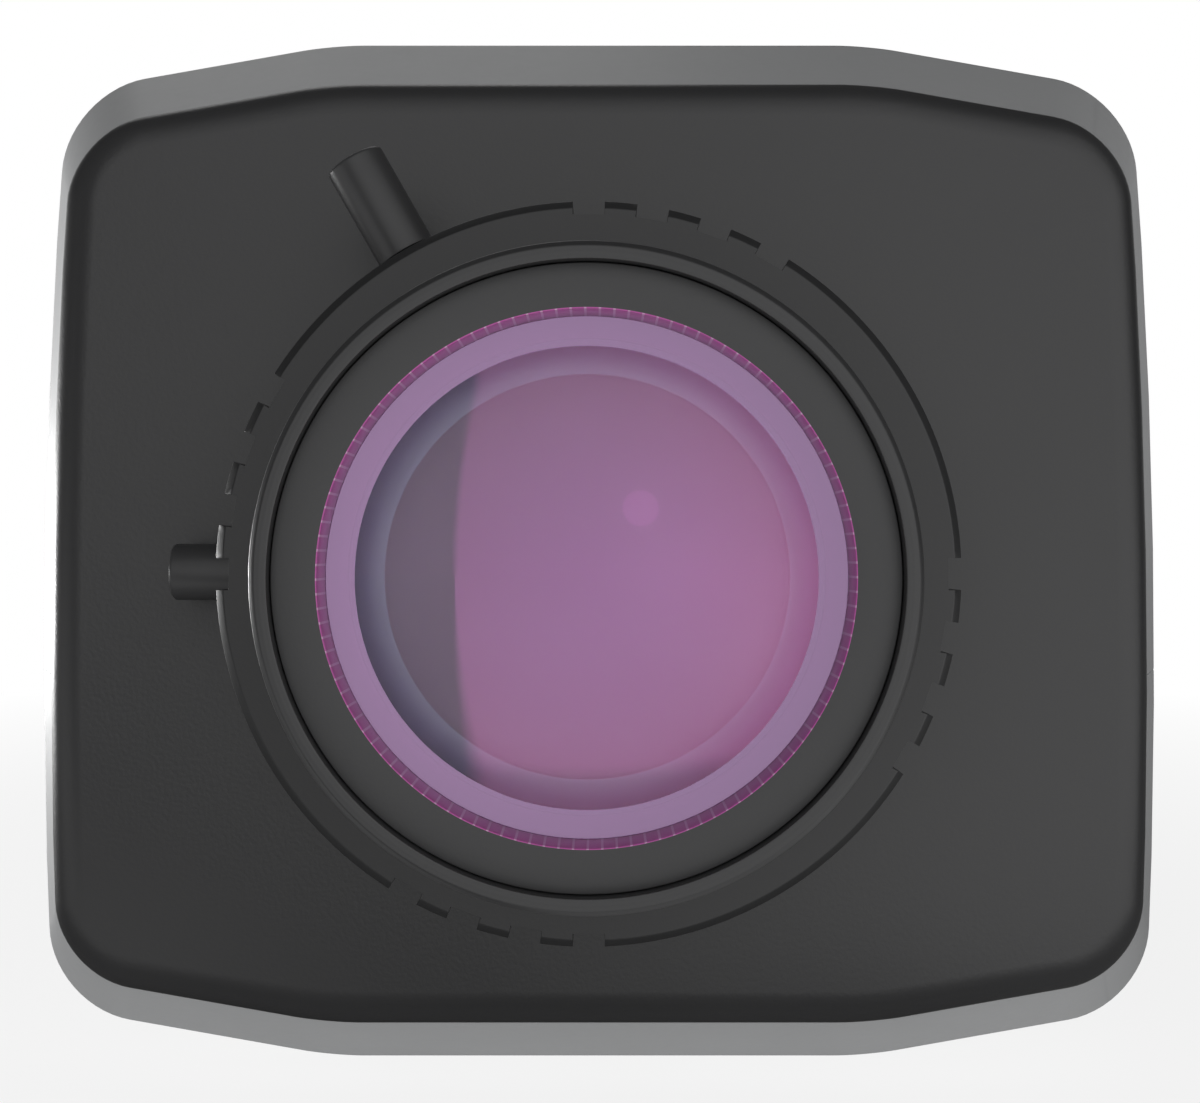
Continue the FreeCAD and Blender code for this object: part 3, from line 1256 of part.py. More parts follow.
def make_small_controls():
    """Make the card socket, the control button with its switch, and the status light."""
    socket = rear_block("card_socket", "card_x", AUDIO_LEVEL, "card_width", "card_height", PANEL_FACE,
                        f"{PANEL_FACE} - {IO_BOARD_REAR}")
    slot = new_sketch(socket, "slot", offset=f"-{PANEL_FACE}")
    draw_rectangle(slot, "card_x", AUDIO_LEVEL, "card_slot_width", "card_slot_height")
    cut(socket, slot, "card_slot_depth")

    switch = rear_block("button_switch", "button_x", BUTTON_LEVEL, "switch_width", "switch_width",
                        f"({IO_BOARD_REAR} + switch_depth)", "switch_depth")
    plunger_rear = f"({IO_BOARD_REAR} + switch_depth + switch_plunger_length)"
    plunger = new_sketch(switch, "plunger", offset=f"-{plunger_rear}")
    draw_circles(plunger, [("button_x", BUTTON_LEVEL)], "switch_plunger_radius")
    pad(switch, plunger, "switch_plunger_length")

    button = new_body("control_button", "button_x", "0", BUTTON_LEVEL)
    flange_rear = f"({PANEL_INNER} - button_flange_gap)"
    foot = f"({plunger_rear} + switch_gap)"
    stem = new_sketch(button, "stem", offset=f"-({PANEL_FACE} + button_proud)")
    draw_circles(stem, CENTRE, "button_radius")
    pad(button, stem, f"{PANEL_FACE} + button_proud - {foot}")
    flange = new_sketch(button, "flange", offset=f"-{flange_rear}")
    draw_circles(flange, CENTRE, "button_flange_radius")
    pad(button, flange, "button_flange_thickness")

    light = new_body("status_light", "light_x", "0", LIGHT_LEVEL)
    light_rear = f"-({PANEL_FACE} + light_proud)"
    pipe = new_sketch(light, "pipe", offset=light_rear)
    draw_circles(pipe, CENTRE, "light_radius")
    pad(light, pipe, f"{PANEL_FACE} + light_proud - {IO_BOARD_REAR}")
    collar = new_sketch(light, "collar", offset=f"-{PANEL_INNER}")
    draw_circles(collar, CENTRE, "light_flange_radius")
    pad(light, collar, f"{PANEL_INNER} - {IO_BOARD_REAR}")


def make_rear():
    """Make everything at the back of the camera."""
    make_rear_panel()
    make_network_jack()
    make_terminal("power", "power_x", "power_width", poles=2)
    make_terminal("io", "io_x", "io_width", poles=4)
    make_audio_jack("audio_in_jack", "audio_in_x")
    make_audio_jack("audio_out_jack", "audio_out_x")
    make_small_controls()


def write_parts():
    """See that every object is sound, then write each sub-part to its own file."""
    doc.recompute()
    for thing in doc.Objects:
        if "Invalid" in thing.State or "Error" in thing.State:
            raise RuntimeError(f"{thing.Label} failed")
    for body in sub_parts:
        if body.Shape.isNull() or not body.Shape.isValid():
            raise RuntimeError(f"{body.Label} has no sound shape")
    os.makedirs("parts", exist_ok=True)
    for body in sub_parts:
        body.Shape.exportStep(f"parts/{body.Label}.step")


fill_sheet()
make_housing_base()
make_housing_top_cover()
make_front_cap()
make_housing_fasteners()
make_lens()
make_sensor_unit()
make_electronics()
make_rear()
write_parts()
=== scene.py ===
"""Looks of a network box camera: painted housing, dark cap and a coated zoom lens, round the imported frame."""
import logging
import math
from dataclasses import dataclass, replace
from enum import Enum
from typing import Callable, Iterable, Optional

import bmesh
import bpy
from bmesh.types import BMEdge, BMesh, BMVert
from bpy.types import ID, Material, Mesh, Node, Object, World
from bpy.types import NodeOutputs as Outputs, NodeSocket as Socket, NodeTree as Tree
from mathutils import Matrix, Vector


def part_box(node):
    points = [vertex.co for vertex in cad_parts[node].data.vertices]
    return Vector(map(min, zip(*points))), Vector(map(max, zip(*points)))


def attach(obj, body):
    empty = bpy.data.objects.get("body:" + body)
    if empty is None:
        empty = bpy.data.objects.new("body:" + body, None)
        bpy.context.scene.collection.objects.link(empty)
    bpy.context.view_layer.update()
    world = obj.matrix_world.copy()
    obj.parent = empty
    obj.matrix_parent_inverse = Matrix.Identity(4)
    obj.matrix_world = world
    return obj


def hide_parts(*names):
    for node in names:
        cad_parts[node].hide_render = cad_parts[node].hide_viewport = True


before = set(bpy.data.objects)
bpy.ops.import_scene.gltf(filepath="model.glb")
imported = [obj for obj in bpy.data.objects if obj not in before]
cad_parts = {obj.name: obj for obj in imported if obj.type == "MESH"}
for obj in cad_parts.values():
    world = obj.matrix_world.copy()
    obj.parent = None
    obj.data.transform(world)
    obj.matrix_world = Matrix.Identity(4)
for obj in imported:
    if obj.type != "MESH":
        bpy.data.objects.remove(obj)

log = logging.getLogger("box_camera")

Triple = tuple[float, float, float]

MM = 0.001
FULL_TURN = math.tau
LATHE_STEPS = 192
POST_STEPS = 64
CORNER_FACETS = 4
SMOOTH_ANGLE = math.radians(32)
MERGE_DISTANCE = 2e-6
CUT_DISTANCE = 1e-7
FACET_ANGLE = math.radians(0.8)
WHITE = (1.0, 1.0, 1.0, 1.0)
MAIN_BODY = "camera_body"


class Combine(Enum):
    """What one solid does to another."""

    CUT = "DIFFERENCE"
    JOIN = "UNION"


class Eased(Enum):
    """What a rounding is laid on."""

    EDGES = "EDGES"
    CORNERS = "VERTICES"


class Sum(Enum):
    """What a number node works out."""

    ADD = "ADD"
    TAKE = "SUBTRACT"
    TIMES = "MULTIPLY"
    TIMES_ADD = "MULTIPLY_ADD"
    MOST = "MAXIMUM"
    SIZE = "ABSOLUTE"
    SINE = "SINE"


class LampShape(Enum):
    """The outline of a lamp."""

    BOX = "RECTANGLE"
    ROUND = "DISK"


# Finishes


def linear(code: str) -> tuple[float, float, float, float]:
    """Turn an sRGB colour, six hex digits after a hash, to linear light with a full alpha."""
    shares = [int(code[i:i + 2], 16) / 255 for i in (1, 3, 5)]
    red, green, blue = [s / 12.92 if s <= 0.04045 else ((s + 0.055) / 1.055) ** 2.4 for s in shares]
    return red, green, blue, 1.0


def add_node(tree: Tree, kind: str, settings: Optional[dict] = None, links: Optional[dict] = None) -> Node:
    """Add a node with its settings and links.

    Args:
        tree: The material's or the world's nodes.
        kind: The shader node's type.
        settings: Properties by name, or input values by socket name or number.
        links: Output sockets by the input that they feed.

    Returns:
        The new node.
    """
    node = tree.nodes.new(f"ShaderNode{kind}")
    for key, value in (settings or {}).items():
        if isinstance(key, str) and hasattr(node, key):
            setattr(node, key, value)
        else:
            node.inputs[key].default_value = value
    for key, socket in (links or {}).items():
        tree.links.new(socket, node.inputs[key])
    return node


def maths(tree: Tree, action: Sum, *terms: "Socket | float") -> Socket:
    """Work out a number.

    Args:
        tree: The nodes.
        action: What is done.
        *terms: Sockets or plain numbers.

    Returns:
        The result.
    """
    plain = {i: term for i, term in enumerate(terms) if isinstance(term, float)}
    linked = {i: term for i, term in enumerate(terms) if i not in plain}
    return add_node(tree, "Math", {"operation": action.value, **plain}, linked).outputs["Value"]


def vector_length(tree: Tree, place: Socket) -> Socket:
    """Give the length of a vector."""
    return add_node(tree, "VectorMath", {"operation": "LENGTH"}, {0: place}).outputs["Value"]


def split(tree: Tree, place: Socket) -> Outputs:
    """Give the X, Y and Z of a vector."""
    return add_node(tree, "SeparateXYZ", links={"Vector": place}).outputs


def noise(tree: Tree, place: Socket, size_mm: float, detail: float) -> Socket:
    """Give an even noise of a grain size, from 0 to 1."""
    settings = {"Scale": 1 / (size_mm * MM), "Detail": detail}
    return add_node(tree, "TexNoise", settings, {"Vector": place}).outputs["Fac"]


def empty_nodes(owner: "Material | World") -> Tree:
    """Start a material or a world with no nodes."""
    owner.use_nodes = True
    owner.node_tree.nodes.clear()
    return owner.node_tree


@dataclass(frozen=True)
class Ramp:
    """A value that changes evenly between two places and holds beyond them."""

    start: float
    end: float
    low: float = 0.0
    high: float = 1.0

    def at(self, tree: Tree, place: Socket) -> Socket:
        """Give the value at a place."""
        settings = {"From Min": self.start, "From Max": self.end, "To Min": self.low, "To Max": self.high}
        return add_node(tree, "MapRange", settings, {"Value": place}).outputs["Result"]


@dataclass(frozen=True)
class Surface:
    """What all finishes share: a name, and a material that is made once."""

    name: str

    def shader(self, tree: Tree, place: Socket) -> Socket:
        """Make the surface's nodes, in the way of each kind of finish.

        Args:
            tree: The material's nodes.
            place: Object coordinates.

        Returns:
            The shader.
        """
        raise NotImplementedError

    def material(self) -> Material:
        """Make the material, or find it if it is made.

        Returns:
            The finished material.
        """
        found = bpy.data.materials.get(self.name)
        if found:
            return found
        material = bpy.data.materials.new(self.name)
        tree = empty_nodes(material)
        place = add_node(tree, "TexCoord").outputs["Object"]
        add_node(tree, "OutputMaterial", links={"Surface": self.shader(tree, place)})
        return material


@dataclass(frozen=True)
class Finish(Surface):
    """A real surface: its colour, gloss, and the grain that its making left."""

    colour: str
    roughness: float
    metallic: float = 0.0
    ior: float = 1.5
    grain_mm: float = 0.5
    grain_detail: float = 3.0
    relief_mm: float = 0.006
    cloud_mm: float = 9.0
    cloud_detail: float = 2.0
    tone: float = 0.05
    gloss_spread: float = 0.06
    coat: float = 0.0

    def relief(self, tree: Tree, place: Socket) -> Socket:
        """Give the height of the surface's grain, from 0 to 1."""
        return noise(tree, place, self.grain_mm, self.grain_detail)

    def shader(self, tree: Tree, place: Socket) -> Socket:
        """Make an opaque surface with a clouded colour, and a gloss that follows its grain.

        Args:
            tree: The material's nodes.
            place: Object coordinates.

        Returns:
            The shader.
        """
        height = self.relief(tree, place)
        cloud = noise(tree, place, self.cloud_mm, self.cloud_detail)
        base = linear(self.colour)[:3]
        dark = [c * (1 - self.tone) for c in base] + [1.0]
        light = [c * (1 + self.tone) for c in base] + [1.0]
        colour = add_node(tree, "Mix", {"data_type": "RGBA", 6: dark, 7: light}, {0: cloud})
        gloss = Ramp(0.0, 1.0, self.roughness - self.gloss_spread, self.roughness + self.gloss_spread)
        bump = add_node(tree, "Bump", {"Distance": self.relief_mm * MM}, {"Height": height})
        return add_node(tree, "BsdfPrincipled",
                        {"Metallic": self.metallic, "IOR": self.ior, "Coat Weight": self.coat},
                        {"Base Color": colour.outputs[2], "Roughness": gloss.at(tree, height),
                         "Normal": bump.outputs["Normal"]}).outputs["BSDF"]


@dataclass(frozen=True)
class TurnedFinish(Finish):
    """A lathe-turned surface: fine rings round an axis, on faces and on cylinders."""

    axis_x: float = 0.0
    axis_z: float = 0.0
    pitch_mm: float = 0.22
    groove: float = 0.25

    def relief(self, tree: Tree, place: Socket) -> Socket:
        """Give the height of the tool's fine grooves, with the grain on them.

        Args:
            tree: The material's nodes.
            place: Object coordinates.

        Returns:
            A height from 0 to 1.
        """
        settings = {"Location": (-self.axis_x, 0.0, -self.axis_z), "Scale": (1.0, 0.0, 1.0)}
        flat = add_node(tree, "Mapping", settings, {"Vector": place}).outputs["Vector"]
        along = maths(tree, Sum.ADD, vector_length(tree, flat), split(tree, place)["Y"])
        wave = maths(tree, Sum.SINE, maths(tree, Sum.TIMES, along, FULL_TURN / (self.pitch_mm * MM)))
        return maths(tree, Sum.TIMES_ADD, wave, self.groove, super().relief(tree, place))


@dataclass(frozen=True)
class GlassFinish(Surface):
    """Optical glass, bare or under an interference film that colours its reflections."""

    tint: str
    mirror: float = 0.0
    ior: float = 1.52
    level: float = 0.5
    roughness: float = 0.02
    film_nm: float = 0.0
    film_ior: float = 1.9
    haze_mm: float = 4.0
    haze_detail: float = 2.0
    haze_spread: float = 0.1

    def shader(self, tree: Tree, place: Socket) -> Socket:
        """Make a clear surface whose polish varies a little.

        Args:
            tree: The material's nodes.
            place: Object coordinates.

        Returns:
            The shader.
        """
        haze = noise(tree, place, self.haze_mm, self.haze_detail)
        spread = self.roughness * self.haze_spread
        gloss = Ramp(0.0, 1.0, self.roughness - spread, self.roughness + spread)
        return add_node(tree, "BsdfPrincipled",
                        {"Base Color": linear(self.tint), "Metallic": self.mirror, "IOR": self.ior,
                         "Transmission Weight": 1.0, "Specular IOR Level": self.level,
                         "Thin Film Thickness": self.film_nm, "Thin Film IOR": self.film_ior},
                        {"Roughness": gloss.at(tree, haze)}).outputs["BSDF"]


def lens_axis_place() -> tuple[float, float]:
    """Find the X and Z of the lens axis in the frame."""
    low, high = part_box("front_barrel")
    middle = (low + high) / 2
    return middle.x, middle.z


AXIS_X, AXIS_Z = lens_axis_place()

# Powder coat on die-cast aluminium: an even satin with a faint orange peel.
POWDER_COAT = Finish("powder_coated_die_cast", "#b9babb", 0.42, grain_mm=0.7, relief_mm=0.012, tone=0.03)
# Spark-eroded mould texture on polycarbonate: a fine even grain that spreads the highlights.
CAP_PLASTIC = Finish("spark_textured_polycarbonate", "#383839", 0.33, ior=1.585, grain_mm=0.28,
                     relief_mm=0.012)
# Fine-textured paint on the pressed rear panel.
PANEL_PAINT = Finish("fine_texture_panel_paint", "#303031", 0.5, grain_mm=0.35, relief_mm=0.014)
# Turned and black-anodised aluminium: dark satin with the tool's rings just visible.
BLACK_ANODISED = TurnedFinish("turned_black_anodised", "#373738", 0.38, ior=1.6, grain_mm=0.2,
                              relief_mm=0.004, axis_x=AXIS_X, axis_z=AXIS_Z)
# Glass-filled moulded plastic of the grip rings: darker, with a soft sheen.
RING_PLASTIC = Finish("moulded_ring_nylon", "#2e2e2f", 0.38, ior=1.585, grain_mm=0.22, tone=0.06)
# Printed black of the bare name ring: a flat matt.
RING_MATT = Finish("matt_black_ring_paint", "#404041", 0.45, ior=1.54, grain_mm=0.18, relief_mm=0.005,
                   tone=0.04)
# Purple painted onto the inner wall of the name ring: a painted reflection of the coated glass edge, which
# gives the glass its bright edge.
WALL_PAINTED_REFLECTION = Finish("purple_painted_reflection", "#c862b0", 0.3, grain_mm=0.3, relief_mm=0.0005, gloss_spread=0.05)
# Pale lines painted on that wall: painted glints that stand for light catching the wall's facets.
WALL_PAINTED_GLINTS = Finish("painted_wall_glints", "#e2b2d8", 0.35, grain_mm=0.3, relief_mm=0.0005)
# Satin seat ring behind the glass, pale enough to show through it.
SATIN_SEAT = Finish("satin_anodised_seat", "#6a6070", 0.4, grain_mm=0.2, relief_mm=0.002)
# Black-oxide steel of the lock screws: dark with a sharper gloss.
LOCK_STEEL = Finish("black_oxide_screw_steel", "#434344", 0.36, grain_mm=0.3, relief_mm=0.003)
# Coated front element: clear crown glass under a film that mirrors red and blue more than green.
COATED_GLASS = GlassFinish("film_coated_crown_glass", "#fbf7fb", film_nm=257.0, film_ior=2.05)
# Flat rim round the curved face, ground and nearly polished: an even lilac that mirrors the wall ahead.
GROUND_RIM = GlassFinish("fine_ground_glass_rim", "#f4c5ff", mirror=0.35, roughness=0.1)
# Bloomed rear face of the front element, which gives no second image of the lamps.
BLOOMED_GLASS = GlassFinish("bloomed_crown_glass", "#f6e8f7", level=0.0)
# Inner elements with a faint cool tint.
INNER_GLASS = GlassFinish("coated_flint_glass", "#dfe2f5", mirror=0.03, ior=1.6)
# Second element: many thin films that send back a soft lilac haze.
HAZY_GLASS = GlassFinish("multi_coated_flint_glass", "#dccbf4", mirror=0.33, ior=1.6, roughness=0.35)
# Its ground outer zone: the same haze, greyer.
HAZY_EDGE = GlassFinish("ground_flint_edge", "#cfd8ff", mirror=0.56, ior=1.6, roughness=0.35)
# Filter glass that passes green and blue.
FILTER_GLASS = GlassFinish("cut_filter_glass", "#bfe6e2", ior=1.5)
# Zinc-plated steel screws.
ZINC_STEEL = Finish("zinc_plated_steel", "#b4b6b8", 0.3, metallic=1.0, grain_mm=0.25, relief_mm=0.002)
# Turned brass thread insert.
TURNED_BRASS = TurnedFinish("turned_brass", "#c9a45c", 0.28, metallic=1.0, grain_mm=0.2, relief_mm=0.003)
# Cast aluminium of the hidden bracket and heat sink.
CAST_ALUMINIUM = Finish("tumbled_cast_aluminium", "#b8b9ba", 0.45, metallic=1.0, grain_mm=0.4,
                        relief_mm=0.008)
# Moulded black plastic of sockets and chips.
SOCKET_PLASTIC = Finish("moulded_black_pbt", "#1d1d1e", 0.4, grain_mm=0.3, relief_mm=0.005)
# Green moulded plastic of plug-in terminals.
TERMINAL_GREEN = Finish("moulded_green_pbt", "#2c7a4a", 0.42, grain_mm=0.3, relief_mm=0.004)
# Gold flash on contact springs and pins.
CONTACT_GOLD = Finish("gold_flashed_contact", "#d8b25a", 0.24, metallic=1.0, grain_mm=0.15, relief_mm=0.001)
# Solder resist on glass-epoxy board.
BOARD_GREEN = Finish("solder_resist_board", "#1f5a33", 0.35, grain_mm=0.6, relief_mm=0.004, coat=0.3)
# Drawn aluminium can of a capacitor.
DRAWN_CAN = Finish("drawn_aluminium_can", "#c4c6c8", 0.3, metallic=1.0, grain_mm=0.3, relief_mm=0.002)
# Film of the ribbon cable.
RIBBON_FILM = Finish("polyester_ribbon_film", "#d8d6c8", 0.4, grain_mm=0.8, relief_mm=0.003)
# Tinted clear plastic of the light pipe.
LIGHT_PIPE = GlassFinish("tinted_light_pipe", "#9adf9e", ior=1.49, roughness=0.2)


# Mesh work


def tidy(bm: BMesh) -> BMesh:
    """Close a mesh's seams and poles, turn its faces outwards and give it back."""
    bmesh.ops.remove_doubles(bm, verts=bm.verts[:], dist=MERGE_DISTANCE)
    bmesh.ops.dissolve_degenerate(bm, edges=bm.edges[:], dist=MERGE_DISTANCE / 2)
    bmesh.ops.recalc_face_normals(bm, faces=bm.faces[:])
    return bm


def ease(bm: BMesh, parts: "Iterable[BMEdge | BMVert]", width: float, segments: int = 3,
         affect: Eased = Eased.EDGES) -> None:
    """Round edges or corners as a mould or a tool leaves them.

    Args:
        bm: The mesh.
        parts: The edges or corners to round.
        width: How far the rounding reaches, in metres.
        segments: Facets across the rounding.
        affect: Which of the two they are.
    """
    bmesh.ops.bevel(bm, geom=list(parts), offset=width, segments=segments, affect=affect.value, profile=0.5,
                    material=-1, clamp_overlap=True)


def level_cut(bm: BMesh, height: float, **clear: bool) -> None:
    """Cut a mesh across at a height, in millimetres, and clear a side of it if one is named."""
    bmesh.ops.bisect_plane(bm, geom=bm.verts[:] + bm.edges[:] + bm.faces[:], dist=CUT_DISTANCE,
                           plane_co=(0, 0, height * MM), plane_no=(0, 0, 1), **clear)


def sharp_edges(bm: BMesh, angle: float = SMOOTH_ANGLE) -> list[BMEdge]:
    """List the edges that turn by more than an angle, in radians."""
    return [edge for edge in bm.edges if edge.is_manifold and edge.calc_face_angle(0.0) > angle]


def to_mesh(bm: BMesh, name: str = "work") -> Mesh:
    """Store a mesh under a name, and free it."""
    mesh = bpy.data.meshes.new(name)
    bm.to_mesh(mesh)
    bm.free()
    return mesh


def pour(source: BMesh, target: BMesh) -> None:
    """Add one mesh to another, and free it."""
    mesh = to_mesh(source)
    target.from_mesh(mesh)
    bpy.data.meshes.remove(mesh)


def add_object(name: str, data: ID) -> Object:
    """Put an object with its mesh, lamp or lens data in the scene."""
    thing = bpy.data.objects.new(name, data)
    bpy.context.scene.collection.objects.link(thing)
    return thing


def combine(body: BMesh, tool: BMesh, action: Combine) -> BMesh:
    """Cut one solid by another, or join them, and free both.

    Args:
        body: The solid that is kept.
        tool: The solid that cuts or joins it.
        action: What the tool does.

    Returns:
        The new solid.
    """
    objects = [add_object("work", to_mesh(bm)) for bm in (body, tool)]
    work = objects[0].modifiers.new("combine", "BOOLEAN")
    work.object = objects[1]
    work.operation = action.value
    work.solver = "EXACT"
    made = objects[0].evaluated_get(bpy.context.evaluated_depsgraph_get())
    result = bmesh.new()
    result.from_mesh(made.to_mesh())
    made.to_mesh_clear()
    for thing in objects:
        mesh = thing.data
        bpy.data.objects.remove(thing)
        bpy.data.meshes.remove(mesh)
    return result


def cylinder(centre: Vector, direction: Vector, radius: float, length: float) -> BMesh:
    """Make a plain round solid, used as a cutter or a post.

    Args:
        centre: The middle of one end.
        direction: The way that it runs from there.
        radius: Its radius.
        length: Its length.

    Returns:
        The solid.
    """
    bm = bmesh.new()
    turn = direction.to_track_quat("Z", "Y").to_matrix().to_4x4()
    place = Matrix.Translation(centre + direction.normalized() * length / 2) @ turn
    bmesh.ops.create_cone(bm, cap_ends=True, segments=POST_STEPS, radius1=radius, radius2=radius,
                          depth=length, matrix=place)
    return bm


def block(middle: Vector, sides: tuple[Vector, Vector, Vector], sizes: Triple) -> BMesh:
    """Make a plain box, used as a cutter.

    Args:
        middle: Its middle.
        sides: The ways that its sides run.
        sizes: Their lengths, in millimetres.

    Returns:
        The solid.
    """
    bm = bmesh.new()
    facing = Matrix(sides).transposed().to_4x4()
    scale = Matrix.Diagonal([size * MM for size in sizes] + [1])
    bmesh.ops.create_cube(bm, size=1.0, matrix=Matrix.Translation(middle) @ facing @ scale)
    return bm


def merged(solids: Iterable[BMesh]) -> BMesh:
    """Put several solids that stay apart into one mesh, and free them."""
    whole = bmesh.new()
    for solid in solids:
        pour(solid, whole)
    return whole


def eased_copy(node: str, width: float, segments: int = 2) -> BMesh:
    """Copy a node's solid, join its facets and round its sharp edges.

    Args:
        node: The node's name.
        width: The rounding, in metres.
        segments: Facets across the rounding.

    Returns:
        The copy.
    """
    bm = bmesh.new()
    bm.from_mesh(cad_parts[node].data)
    bmesh.ops.remove_doubles(bm, verts=bm.verts[:], dist=MERGE_DISTANCE)
    bmesh.ops.dissolve_limit(bm, angle_limit=FACET_ANGLE, verts=bm.verts[:], edges=bm.edges[:],
                             use_dissolve_boundaries=False)
    ease(bm, sharp_edges(bm), width, segments)
    return bm


@dataclass(frozen=True)
class Axis:
    """A turning axis: a start, the way that it runs and the way of its first radius."""

    start: Vector
    along: Vector
    out: Vector

    def point(self, radius: float, height: float) -> Vector:
        """Give the point at a radius and a height, in millimetres."""
        return self.start + self.out * (radius * MM) + self.along * (height * MM)


def lathe(profile: list[tuple[float, float]], axis: Axis, rounding: float = 0.0, closed: bool = True,
          steps: int = LATHE_STEPS) -> BMesh:
    """Turn a profile about an axis.

    Args:
        profile: Radius and height of each corner, in millimetres.
        axis: The turning axis.
        rounding: How far each corner is eased, in millimetres.
        closed: Whether the last corner joins the first; a profile that ends on the axis isn't closed.
        steps: Facets in the full turn.

    Returns:
        The turned solid.
    """
    bm = bmesh.new()
    corners = [bm.verts.new(axis.point(radius, height)) for radius, height in profile]
    following = corners[1:] + corners[:1] if closed else corners[1:]
    for one, two in zip(corners, following):
        bm.edges.new((one, two))
    if rounding:
        eased = [v for v, (radius, _) in zip(corners, profile) if radius > 0]
        ease(bm, eased, rounding * MM, CORNER_FACETS, Eased.CORNERS)
    bmesh.ops.spin(bm, geom=bm.verts[:] + bm.edges[:], cent=axis.start, axis=axis.along, dvec=(0, 0, 0),
                   angle=FULL_TURN, steps=steps, use_merge=True, use_duplicate=False)
    return tidy(bm)


def make_piece(name: str, bm: BMesh, finish: Surface, body: str, *nodes: str, smooth: float = SMOOTH_ANGLE,
               weighted: bool = False) -> Object:
    """Finish a piece: mesh, smooth shading, material, body and the node that it stands for.

    Args:
        name: The piece's name.
        bm: Its mesh, which is freed.
        finish: Its surface.
        body: The CAD body that it moves with.
        *nodes: The CAD nodes that it stands for.
        smooth: Edges that turn by more than this stay sharp.
        weighted: Whether large flat faces set the shading.

    Returns:
        The piece.
    """
    mesh = to_mesh(bm, name)
    for layer in [item for item in mesh.attributes if item.name == "custom_normal"]:
        mesh.attributes.remove(layer)
    mesh.shade_smooth()
    mesh.set_sharp_from_angle(angle=smooth)
    mesh.materials.clear()
    mesh.materials.append(finish.material())
    piece = add_object(name, mesh)
    if weighted:
        modifier = piece.modifiers.new("weighted_normals", "WEIGHTED_NORMAL")
        modifier.keep_sharp = True
    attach(piece, body)
    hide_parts(*nodes)
    log.info("%s: %d faces, for %s", name, len(mesh.polygons), ", ".join(nodes))
    return piece


def make_eased(name: str, node: str, width: float, finish: Surface, body: str = MAIN_BODY,
               weighted: bool = True) -> None:
    """Make a piece that is a node's own solid with its edges rounded.

    Args:
        name: The piece's name.
        node: The CAD node that it stands for.
        width: The rounding, in millimetres.
        finish: Its surface.
        body: The CAD body that it moves with.
        weighted: Whether large flat faces set the shading.
    """
    make_piece(name, eased_copy(node, width * MM), finish, body, node, weighted=weighted)


def second_finish(piece: Object, finish: Surface, chosen: Callable[[Vector, Vector], bool]) -> None:
    """Give some faces of a piece another finish.

    Args:
        piece: The piece.
        finish: The other surface.
        chosen: Tells from a face's middle and normal whether it takes it.
    """
    index = len(piece.data.materials)
    piece.data.materials.append(finish.material())
    for face in piece.data.polygons:
        if chosen(face.center, face.normal):
            face.material_index = index


def dress(finish: Surface, *nodes: str) -> None:
    """Give CAD nodes that keep their own shape a finish.

    Args:
        finish: The surface.
        *nodes: The nodes.
    """
    for node in nodes:
        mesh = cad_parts[node].data
        for index in range(len(mesh.materials)):
            mesh.materials[index] = finish.material()
        log.info("%s: %s", node, finish.name)


# Housing and cap


